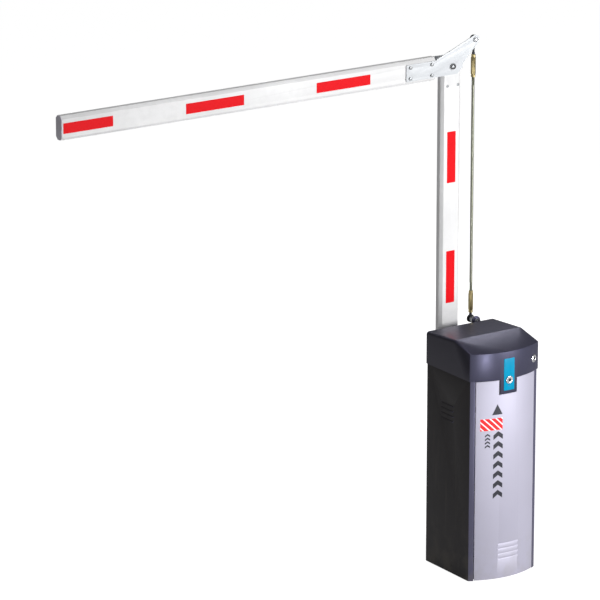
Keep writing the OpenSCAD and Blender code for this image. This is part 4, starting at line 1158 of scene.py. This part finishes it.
class BARRIER_OT_locks(Maker):
    """Make the coloured facing, the rings and the two key barrels"""
    bl_idname = "barrier.locks"
    bl_label = "Locks"

    def make(self, context):
        sizes, plan = context.scene.barrier_hood, Plan()
        grow, r = high("hood_shell").x - plan.half, sizes.barrel
        self.facing(sizes, plan, grow)
        lock, release = middle("hood_lock_barrel"), middle("release_lock_barrel")
        front, face = low("hood_lock_barrel").y, low("lock_plate").y
        key, foot = Vector((lock.x, front, lock.z)), Vector((lock.x, face, lock.z))
        turn = math.atan2(release.x, plan.centre - release.y)
        place = (Matrix.Translation((0, plan.centre, release.z)) @ Matrix.Rotation(turn, 4, "Z")
                 @ Matrix.Translation((0, -plan.radius - grow, 0)) @ Matrix.Translation(-foot))
        ring = self.ring(foot, r, face - front)
        rings = join("lock_rings", ring, copy_of(ring, "ring", place))
        hand_over(rings, "hood", "bright_chrome", "lock_bezels")
        barrel = self.barrel("hood_key_barrel", key, r, high("hood_lock_barrel").y - front)
        hand_over(barrel, "hood_lock", "bright_chrome", "hood_lock_barrel", finish="own")
        barrel = self.barrel("release_key_barrel", key, r, 0.024)
        barrel.matrix_world = place
        nose = block("nose", (-0.005, 0.024, -0.007), (0.005, 0.027, 0.014))
        soften(nose, BREAK)
        coat(nose, "zinc_steel")
        nose.matrix_world = place @ Matrix.Translation(key)
        barrel = join("release_key_barrel", settle(barrel), settle(nose))
        hand_over(barrel, "release_lock", "bright_chrome", "release_lock_barrel",
                  finish="own")

    def ring(self, foot, r, proud):
        """A rounded ring that stands proud round a barrel of radius r."""
        bore, outer = r + TINY, r * 1.7
        return turned("lock_rings", foot, -Y, [
            (bore, 0), (outer, 0), (outer, proud * 0.55), (outer - 0.0012, proud * 0.9),
            (outer - 0.0022, proud), (r + 0.0030, proud), (r + 0.0018, proud * 0.8),
            (bore, proud * 0.75), (bore, 0)], 64)

    def barrel(self, name, key, r, depth):
        """A key barrel with a ringed face, a keyway and a plug painted dark as painted shade of
        the keyway.
        """
        edge, plug = 0.0008, 0.0068
        barrel = turned(name, key, Y, [
            (0, 0), (0.0056, 0), (0.0059, 0.0007), (0.0066, 0.0007), (0.0069, 0), (r - edge, 0),
            (r, edge), (r, depth - edge), (r - edge, depth), (0, depth)], 48)
        cut(barrel, block("keyway", key - Vector((0.0014, 0.001, 0.0045)),
                          key + Vector((0.0014, 0.003, 0.0045))))
        # The plug face is painted near black: painted shade.
        return two_finishes(barrel, "bright_chrome", "painted_shade",
                            lambda c: c.y < key.y + 0.0035 and off_axis(c, key) < plug)

    def facing(self, sizes, plan, grow):
        """The coloured plate that follows the front band, with rounded corners and a slot."""
        node = "lock_plate"
        a, b = low(node), high(node)
        thick = 0.0012
        over = grow + thick
        plate = walled("lock_facing", plan.spot(a.x, a.z, over),
                       [plan.bow(a.x, b.x, a.z, over, 14)], Z * (b.z - a.z), thick,
                       (0, 0.3, a.z))
        centre, reach = (a.x + b.x) / 2, (b.x - a.x) / 2 - 0.0006
        pick_edges(plate, lambda m, d: abs(d.y) > 0.9 and abs(m.x - centre) > reach)
        round_picked(sizes.facing_corner, 5)
        lock = middle("hood_lock_barrel")
        cut(plate, rod("bore", (lock.x, a.y - PAST, lock.z), Y, sizes.barrel, 3 * PAST),
            block("slot", (lock.x - 0.006, a.y - PAST, lock.z - 0.0252),
                  (lock.x + 0.006, a.y + PAST, lock.z - 0.0232)))
        soften(plate, 0.0003)
        hand_over(plate, "hood", "plate_cyan", node)


# ---------------------------------------------------------------------------
# Balance spring and link ear
# ---------------------------------------------------------------------------

class BARRIER_OT_spring(Maker):
    """Wind the balance spring round the main shaft"""
    bl_idname = "barrier.spring"
    bl_label = "Balance spring"

    def make(self, context):
        node, wire = "balance_spring", context.scene.barrier_arm.spring_wire
        a, b = low(node), high(node)
        shaft = middle("main_shaft")
        coil = (b.x - a.x) / 2 - wire
        rear_gap, turns = 0.027, 6
        back = b.y - rear_gap
        pitch = (back - a.y - 2 * wire) / turns
        put_down()
        bpy.ops.mesh.primitive_circle_add(vertices=14, radius=wire, location=(coil, 0, 0),
                                          fill_type="NGON")
        spring = settle(bpy.context.object)
        spring.name = spring.data.name = "wound_spring"
        modify(spring, "SCREW", axis="Y", angle=math.tau * turns, screw_offset=pitch * turns,
               steps=28 * turns, render_steps=28 * turns, use_merge_vertices=False)
        spring.location = (0, a.y + wire, shaft.z)
        settle(spring)
        edit(spring)
        bpy.ops.mesh.remove_doubles(threshold=TINY)
        bpy.ops.mesh.select_all(action="SELECT")
        bpy.ops.mesh.normals_make_consistent(inside=False)
        put_down()
        legs = [rod("rear_leg", (coil, back - wire, shaft.z), -Z, wire, shaft.z - a.z - wire, 14),
                rod("rear_foot", (coil, back - wire, a.z + 2 * wire), -X, wire, coil, 14),
                rod("front_leg", (coil, a.y + wire, shaft.z), Z, wire, 0.022, 14)]
        for leg in legs:
            soften(leg, 0.001, 2)
        spring = join("wound_spring", spring, *legs)
        hand_over(spring, None, "yellow_zinc", node, smooth=50)
        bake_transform(spring)


class BARRIER_OT_link_ear(Maker):
    """Make the bracket and the pin that hold the tie rod's lower end"""
    bl_idname = "barrier.link_ear"
    bl_label = "Link ear"

    def make(self, context):
        ear = dressed("link_ear", "link_ear_bracket", 0.0012, 3)
        hand_over(ear, "cabinet", "hood_grey", "link_ear_bracket")
        head, thick = 0.006, 0.008
        front = low("link_ear_pin").y + head
        pin = link_pin("link_ear_bolt", "link_ear_pin", front, front + thick, eye_box(0))
        hand_over(pin, "cabinet", "zinc_steel", "link_ear_pin", finish="own")


def eye_box(which):
    """(lowest, highest) corner of the tie rod's lower or upper end."""
    return islands("tie_rod_eyes")[which]


def link_pin(name, node, plate0, plate1, eye):
    """A headed pin through a plate, two collars and a rod end, with the groove in its head painted
    dark as painted shade.
    """
    arm = bpy.context.scene.barrier_arm
    a, b = low(node), high(node)
    head, shank = (b.x - a.x) / 2, arm.link_pin
    gap, edge = 0.0005, 0.0008
    foot = end_of((a, b))
    p0, p1 = plate0 - a.y, plate1 - a.y
    e0, e1, end = eye[0].y - a.y, eye[1].y - a.y, b.y - a.y
    groove = (head * 0.52, head * 0.80)
    pin = turned(name, foot, Y, [
        (0, 0), (groove[0] - 0.0004, 0), (groove[0], 0.0022), (groove[1], 0.0022),
        (groove[1] + 0.0004, 0), (head - edge, 0), (head, edge), (head, p0), (shank, p0),
        (shank, p1), (head, p1), (head, e0 - gap), (shank, e0 - gap), (shank, e1 + gap),
        (head, e1 + gap), (head, end - edge), (head - edge, end), (0, end)], 48)

    def in_groove(face):
        out, deep = off_axis(face, foot), face.y - a.y
        ringed = groove[0] - 0.0008 < out < groove[1] + 0.0006
        return deep < 0.0024 and (ringed or deep > 0.0021 and out < groove[1])

    # The head's groove is painted near black: painted shade.
    return two_finishes(pin, "zinc_steel", "painted_shade", in_groove)


# ---------------------------------------------------------------------------
# Arm
# ---------------------------------------------------------------------------

class BARRIER_OT_clamps(Maker):
    """Make the two clamp plates at the foot of the inner boom and their bolts"""
    bl_idname = "barrier.clamps"
    bl_label = "Boom clamps"

    def make(self, context):
        for name, node in (("clamp_plate_front", "boom_clamp_front"),
                           ("clamp_plate_rear", "boom_clamp_rear")):
            plate = block(name, low(node), high(node))
            pick_edges(plate, lambda m, d: abs(d.y) > 0.9)
            round_picked(0.010, 5)
            soften(plate, 0.0008)
            hand_over(plate, "main_arm", "boom_white", node, finish="elbow_white")
        boxes = islands("clamp_bolts")
        a, b = boxes[0]
        nut, shank = 0.009, 0.006
        centres = [((p.x + q.x) / 2, b.y, (p.z + q.z) / 2) for p, q in boxes]
        rear, front = high("boom_clamp_rear").y, low("boom_clamp_front").y
        one = bolt("clamp_screws", centres[0], -Y, (b.x - a.x) / 2, b.y - rear, shank, b.y - a.y,
                   b.y - front, nut)
        screws = repeat("clamp_screws", one, centres)
        hand_over(screws, "main_arm", "zinc_steel", "clamp_bolts")


class BARRIER_OT_inner_boom(Maker):
    """Draw the inner boom, its strips and the sunk screws of its elbow insert"""
    bl_idname = "barrier.inner_boom"
    bl_label = "Inner boom"

    def make(self, context):
        arm = context.scene.barrier_arm
        pivot = middle("elbow_pivot_bolt")
        screws = islands("elbow_insert_bolts")
        holes = [(pivot.x, pivot.z, arm.pivot)]
        clearance = 0.0002
        holes += [((a.x + b.x) / 2, (a.z + b.z) / 2, (b.x - a.x) / 2 + clearance)
                  for a, b in screws]
        tube = boom("inner_boom", "inner_boom_tube", Z, holes)
        hand_over(tube, "main_arm", "boom_white", "inner_boom_tube")
        tape = strips("inner_boom_tape", "inner_boom_strips")
        hand_over(tape, "main_arm", "strip_red", "inner_boom_strips")
        a, b = screws[0]
        r, length = (b.x - a.x) / 2, b.y - a.y
        places = [end_of(box) for box in screws]
        one = turned("insert_screws", places[0], Y, [
            (0, 0.0022), (r * 0.42, 0.0022), (r * 0.45, 0), (r - 0.0006, 0), (r, 0.0006),
            (r, 0.0032), (r * 0.6, 0.0034), (r * 0.6, length - 0.0034), (r, length - 0.0032),
            (r, length - 0.0006), (r - 0.0006, length), (r * 0.45, length),
            (r * 0.42, length - 0.0022), (0, length - 0.0022)], 32)
        hand_over(repeat("insert_screws", one, places), "main_arm", "zinc_steel",
                  "elbow_insert_bolts", finish="dull_bolt")


class BARRIER_OT_outer_boom(Maker):
    """Draw the outer boom with its strips and its end caps"""
    bl_idname = "barrier.outer_boom"
    bl_label = "Outer boom"

    def make(self, context):
        arm = context.scene.barrier_arm
        holes = [((a.x + b.x) / 2, (a.z + b.z) / 2, arm.bolt_clear)
                 for a, b in islands("elbow_plate_bolts")]
        tube = boom("outer_boom", "outer_boom_tube", X, holes)
        hand_over(tube, "outer_arm", "boom_white", "outer_boom_tube")
        tape = strips("outer_boom_tape", "outer_boom_strips")
        hand_over(tape, "outer_arm", "strip_red", "outer_boom_strips")
        caps = dressed("boom_end_caps", "outer_boom_caps", 0.0012, 3)
        hand_over(caps, "outer_arm", "cap_grey", "outer_boom_caps")


def touch(p, c, r, side):
    """Where a line from p touches the circle of radius r round c, on the chosen side."""
    d = c - p
    length = d.length
    angle = math.atan2(d.y, d.x) + side * math.asin(r / length)
    return p + Vector((math.cos(angle), math.sin(angle))) * math.sqrt(length ** 2 - r ** 2)


class BARRIER_OT_elbow(Maker):
    """Cut the two elbow plates and fit their bolts, the pivot and the horn's pin"""
    bl_idname = "barrier.elbow"
    bl_label = "Elbow"

    def make(self, context):
        arm = context.scene.barrier_arm
        for name, node, horn in (("elbow_side_front", "elbow_plate_front", True),
                                 ("elbow_side_rear", "elbow_plate_rear", False)):
            plate = self.plate(arm, name, node, horn)
            hand_over(plate, "outer_arm", "elbow_white", node)
        self.plate_bolts(arm)
        self.pivot(arm)
        plate0, plate1 = low("elbow_plate_front").y, high("elbow_plate_front").y
        pin = link_pin("horn_bolt", "horn_pin", plate0, plate1, eye_box(1))
        hand_over(pin, "outer_arm", "zinc_steel", "horn_pin", finish="own")

    def plate(self, arm, name, node, horn):
        """An elbow plate; the front one carries the horn up to the tie rod's pin."""
        a, b = low(node), high(node)
        pivot, pin = middle("elbow_pivot_bolt"), middle("horn_pin")
        half, corner = arm.plate_half, 0.006
        reach = pivot.x - a.x

        def at(x, z):
            return Vector((pivot.x + x, a.y, pivot.z + z))

        top, side = Vector((-0.077, half + 0.006)), Vector((0.051, 0.006))
        moves = [at(0.024, 0.003 - half), at(side.x, -0.008), at(side.x, side.y)]
        if horn:
            tip = Vector((pin.x - pivot.x, pin.z - pivot.z))
            start, end = touch(side, tip, arm.horn, -1), touch(top, tip, arm.horn, 1)
            turn = math.degrees(math.atan2(*(end - tip).yx) - math.atan2(*(start - tip).yx))
            moves += [at(*start), Arc(at(*tip), turn % 360, 20, -Y)]
        else:
            moves += [at(side.x, 0.024), at(0.030, half + 0.004)]
        moves += [at(*top), at(-0.084, half), at(corner - reach, half),
                  Arc(at(corner - reach, half - corner), 90, 5, -Y), at(-reach, corner - half),
                  Arc(at(corner - reach, corner - half), 90, 5, -Y)]
        start = at(corner - reach, -half)
        plate = solid(name, start, moves, Y * (b.y - a.y))
        holes = [(pivot, arm.pivot)] + ([(pin, arm.link_pin)] if horn else [])
        holes += [((p + q) / 2, arm.bolt_clear) for p, q in islands("elbow_plate_bolts")]
        cut(plate, *[rod("hole", (p.x, a.y - PAST, p.z), Y, r, 3 * PAST, 32)
                     for p, r in holes])
        return soften(plate, 0.0007, 3)

    def plate_bolts(self, arm):
        boxes = islands("elbow_plate_bolts")
        a, b = boxes[0]
        head = low("elbow_plate_front").y - a.y
        rear = high("elbow_plate_rear").y - a.y
        places = [end_of(box) for box in boxes]
        one = bolt("elbow_screws", places[0], Y, (b.z - a.z) / 2, head, arm.bolt_clear - 0.0003,
                   b.y - a.y, rear, 0.005)
        hand_over(repeat("elbow_screws", one, places), "outer_arm", "zinc_steel",
                  "elbow_plate_bolts", finish="dull_bolt")

    def pivot(self, arm):
        """The pivot bolt: a dished head whose recessed ring is painted dark as painted shade, and
        a crowned nut behind.
        """
        node = "elbow_pivot_bolt"
        a, b = low(node), high(node)
        head, r, edge = (b.x - a.x) / 2, arm.pivot, 0.0008
        p0 = low("elbow_plate_front").y - a.y
        p1 = high("elbow_plate_rear").y - a.y
        end, nut = b.y - a.y, p1 + 0.006
        foot = end_of((a, b))
        inner, outer = head * 0.50, head * 0.80
        screw = turned("elbow_pivot", foot, Y, [
            (0, 0.0002), (inner * 0.8, 0.0002), (inner, edge), (inner + 0.0003, 0.0026),
            (outer, 0.0026), (outer + 0.0003, 0.0003), (head - edge, 0), (head, edge),
            (head, p0), (r, p0), (r, p1), (head, p1), (head, nut - edge), (head - edge, nut),
            (r, nut), (r, end - 0.001), (r - 0.001, end), (0, end)], 64)
        # The head's recessed ring is painted near black: painted shade.
        two_finishes(screw, "dull_bolt", "painted_shade",
                     lambda c: c.y - a.y < 0.0027
                     and inner - 0.0001 < off_axis(c, foot) < outer + 0.0002)
        hand_over(screw, "outer_arm", "zinc_steel", node, finish="own")


class BARRIER_OT_tie_rod(Maker):
    """Make the tie rod: bar, adjusting sleeves with lock nuts, and the two rod ends"""
    bl_idname = "barrier.tie_rod"
    bl_label = "Tie rod"

    def make(self, context):
        node = "tie_rod_bar"
        a, b = low(node), high(node)
        centre, r = middle(node), (b.x - a.x) / 2
        sleeves = islands("tie_rod_sleeves")
        bar = self.bar(a, b, centre, r, sleeves)
        hand_over(bar, "tie_rod", "zinc_steel", node, finish="rod_zinc", smooth=40)
        turnings = [self.sleeve(p, q, centre, r) for p, q in sleeves]
        hand_over(join("link_sleeves", *turnings), "tie_rod", "yellow_zinc", "tie_rod_sleeves")
        ends = [self.rod_end(eye_box(0), 1, centre, r), self.rod_end(eye_box(1), -1, centre, r)]
        hand_over(join("link_rod_ends", *ends), "tie_rod", "dark_steel", "tie_rod_eyes",
                  smooth=40)

    def bar(self, a, b, centre, r, sleeves):
        """The round bar, threaded where it enters the sleeves."""
        pitch, deep, length = 0.002, 0.0009, b.z - a.z
        thread = sleeves[0][1].z - a.z + 0.035
        profile = [(0, 0), (r - deep, 0)]
        count = int(thread / pitch)
        for i in range(count):
            profile += [(r, (i + 0.5) * pitch), (r - deep, (i + 1) * pitch)]
        profile.append((r, (count + 0.5) * pitch))
        upper = [(radius, length - d) for radius, d in reversed(profile)]
        return turned("link_rod", (centre.x, centre.y, a.z), Z, profile + upper, 20)

    def sleeve(self, p, q, centre, r):
        """A long hexagon sleeve between two round collars."""
        radius, collar = (q.x - p.x) / 2, 0.012
        foot = Vector((centre.x, centre.y, p.z))
        length = q.z - p.z
        body = hexagon("sleeve", foot + Z * collar, Z, radius, length - 2 * collar, 0.0012)
        ends = [turned("collar", foot + Z * d, Z, [
            (r, 0), (radius - 0.0025, 0), (radius - 0.001, 0.001), (radius - 0.001, 0.0105),
            (radius - 0.0025, 0.012), (r, 0.012), (r, 0)], 32) for d in (0, length - collar)]
        return join("sleeve", body, *ends)

    def rod_end(self, box, way, centre, r):
        """A rod end: outer ring, ball race and a necked shank towards the sleeve."""
        a, b = box
        ring, wide, bore = (b.x - a.x) / 2, b.y - a.y, 0.0128
        mid = Vector((centre.x, a.y, a.z + ring if way > 0 else b.z - ring))
        pin = bpy.context.scene.barrier_arm.link_pin + 0.0003
        outer = turned("ring", mid, Y, [
            (bore, 0.0012), (ring - 0.002, 0.0004), (ring, 0.0022), (ring, wide - 0.0022),
            (ring - 0.002, wide - 0.0004), (bore, wide - 0.0012), (bore, 0.0012)], 48)
        ball = [(pin, 0), (pin + 0.0008, 0)]
        ball += [(0.0105 + 0.0022 * math.sin(math.pi * i / 8), 0.0006 + (wide - 0.0012) * i / 8)
                 for i in range(9)]
        ball += [(pin + 0.0008, wide), (pin, wide), (pin, 0)]
        race = turned("race", mid, Y, ball, 48)
        length = b.z - a.z - 2 * ring
        foot = mid + Y * wide / 2 + Z * way * (ring - 0.0015)
        neck = 0.0050
        shank = turned("shank", foot, Z * way, [
            (0, 0), (r + 0.0012, 0), (r - 0.0006, 0.006), (r - 0.0006, 0.0085), (neck, 0.0095),
            (neck, length * 0.6), (r, length * 0.6 + 0.001), (r, length + 0.001),
            (0, length + 0.001)], 32)
        return join("rod_end", outer, race, shank)


# ---------------------------------------------------------------------------
# Stage
# ---------------------------------------------------------------------------

class StageSettings(bpy.types.PropertyGroup):
    lens: FloatProperty(name="Lens", description="Focal length in millimetres", default=280.4)
    camera: FloatVectorProperty(name="Camera", description="Where the camera stands", size=3,
                                default=(-10.8948, -15.1684, 6.7552), subtype="TRANSLATION")
    aim: FloatVectorProperty(name="Aim", description="The camera's direction", size=3,
                             default=(0.5267, 0.8001, -0.2870), subtype="DIRECTION")
    key: FloatProperty(name="Key", description="Power of the main light in watts", default=480.0)
    strip: FloatProperty(name="Strip", description="Power of the upright front light in watts",
                         default=29.0)
    back: FloatProperty(name="Back", description="Power of the fill light behind in watts",
                        default=90.0)
    rim: FloatProperty(name="Rim", description="Power of the light behind in watts",
                       default=22.0)
    top: FloatProperty(name="Top", description="Power of the light above the arm in watts",
                       default=26.0)
    sky: FloatProperty(name="Surround", description="Light from the pale surround",
                       default=0.15)
    glow: FloatProperty(name="Floor glow", description="Light of the floor's paper",
                        default=0.92)


class BARRIER_OT_stage(Maker):
    """Lay the pale floor, hang the soft lights and set up the camera"""
    bl_idname = "barrier.stage"
    bl_label = "Stage"

    def make(self, context):
        settings = context.scene.barrier_stage
        self.floor()
        self.light("key_light", settings.key, 2.2, (3.6, -6.6, 2.4), (-0.2, -0.1, 1.1))
        self.light("strip_light", settings.strip, 0.16, (-0.42, -3.2, 0.5), (-0.1, -0.2, 0.9),
                   1.3)
        self.light("back_light", settings.back, 1.6, (1.2, 5.0, 1.5), (0, 0, 1.0))
        self.light("rim_light", settings.rim, 0.9, (3.3, 3.8, 4.5), (0, -0.1, 1.0))
        self.light("top_light", settings.top, 1.6, (-1.0, 0.2, 5.0), (-0.9, 0.2, 2.0))
        self.surround(context, settings)
        context.scene.view_settings.view_transform = "Standard"
        put_down()
        bpy.ops.object.camera_add(location=settings.camera)
        camera = context.object
        camera.rotation_euler = Vector(settings.aim).to_track_quat("-Z", "Y").to_euler()
        camera.data.lens, camera.data.sensor_width = settings.lens, 36.0
        camera.data.clip_end = 200.0
        context.scene.camera = camera

    def surround(self, context, settings):
        """A white backdrop that lights the barrier only softly."""
        world = bpy.data.worlds.new("surround")
        world.use_nodes = True
        tree = world.node_tree
        backdrop = tree.nodes["Background"]
        backdrop.inputs["Color"].default_value = (1, 1, 1, 1)
        path = tree.nodes.new("ShaderNodeLightPath")
        level = tree.nodes.new("ShaderNodeMapRange")
        level.inputs["To Min"].default_value = settings.sky
        level.inputs["To Max"].default_value = 1.0
        tree.links.new(path.outputs["Is Camera Ray"], level.inputs["Value"])
        tree.links.new(level.outputs["Result"], backdrop.inputs["Strength"])
        context.scene.world = world

    def floor(self):
        put_down()
        bpy.ops.mesh.primitive_plane_add(size=80, location=(0, 0, -0.0005))
        floor = bpy.context.object
        floor.name = floor.data.name = "studio_floor"
        glow = bpy.context.scene.barrier_stage.glow
        f = Finish("floor_paper", roughness=0.95, emission_strength=glow)
        seen = f.node("ShaderNodeLightPath", output="Is Camera Ray")
        f.give("Emission Color", f.mix(seen, (0.17, 0.17, 0.17), (1, 1, 1)))
        pulp = f.noise(2.0, 4)
        f.give("Base Color", f.mix(pulp, (0.43, 0.43, 0.435), (0.46, 0.46, 0.465)))
        f.give("Specular IOR Level", 0.1)
        floor.data.materials.append(f.material)
        settle(floor)

    def light(self, name, power, wide, place, target, tall=None):
        put_down()
        bpy.ops.object.light_add(type="AREA", location=place)
        lamp = bpy.context.object
        lamp.name = lamp.data.name = name
        lamp.data.energy, lamp.data.size = power, wide
        if tall:
            lamp.data.shape, lamp.data.size_y = "RECTANGLE", tall
        aim = Vector(target) - Vector(place)
        lamp.rotation_euler = aim.to_track_quat("-Z", "Y").to_euler()


# ---------------------------------------------------------------------------
# Panel and registration
# ---------------------------------------------------------------------------

MAKERS = (BARRIER_OT_finishes, BARRIER_OT_cabinet_skin, BARRIER_OT_door, BARRIER_OT_hood,
          BARRIER_OT_locks, BARRIER_OT_spring, BARRIER_OT_link_ear, BARRIER_OT_clamps,
          BARRIER_OT_inner_boom, BARRIER_OT_outer_boom, BARRIER_OT_elbow, BARRIER_OT_tie_rod,
          BARRIER_OT_stage)
GROUPS = {"barrier_cabinet": CabinetSizes, "barrier_hood": HoodSizes, "barrier_arm": ArmSizes,
          "barrier_colours": BarrierColours, "barrier_stage": StageSettings}


class BARRIER_PT_panel(bpy.types.Panel):
    """The barrier's sizes, colours and makers"""
    bl_idname = "BARRIER_PT_panel"
    bl_label = "Parking Barrier"
    bl_space_type = "VIEW_3D"
    bl_region_type = "UI"
    bl_category = "Barrier"

    def draw(self, context):
        for maker in MAKERS:
            self.layout.operator(maker.bl_idname)
        for group in GROUPS:
            box = self.layout.box()
            for name in getattr(context.scene, group).bl_rna.properties.keys():
                if name not in ("rna_type", "name"):
                    box.prop(getattr(context.scene, group), name)


def register():
    for group, kind in GROUPS.items():
        bpy.utils.register_class(kind)
        setattr(bpy.types.Scene, group, PointerProperty(type=kind))
    for kind in (*MAKERS, BARRIER_PT_panel):
        bpy.utils.register_class(kind)


def unregister():
    for kind in (BARRIER_PT_panel, *reversed(MAKERS)):
        bpy.utils.unregister_class(kind)
    for group, kind in GROUPS.items():
        delattr(bpy.types.Scene, group)
        bpy.utils.unregister_class(kind)


def main():
    register()
    for maker in MAKERS:
        family, _, name = maker.bl_idname.partition(".")
        getattr(getattr(bpy.ops, family), name)()
    put_down()


if __name__ == "__main__":
    main()
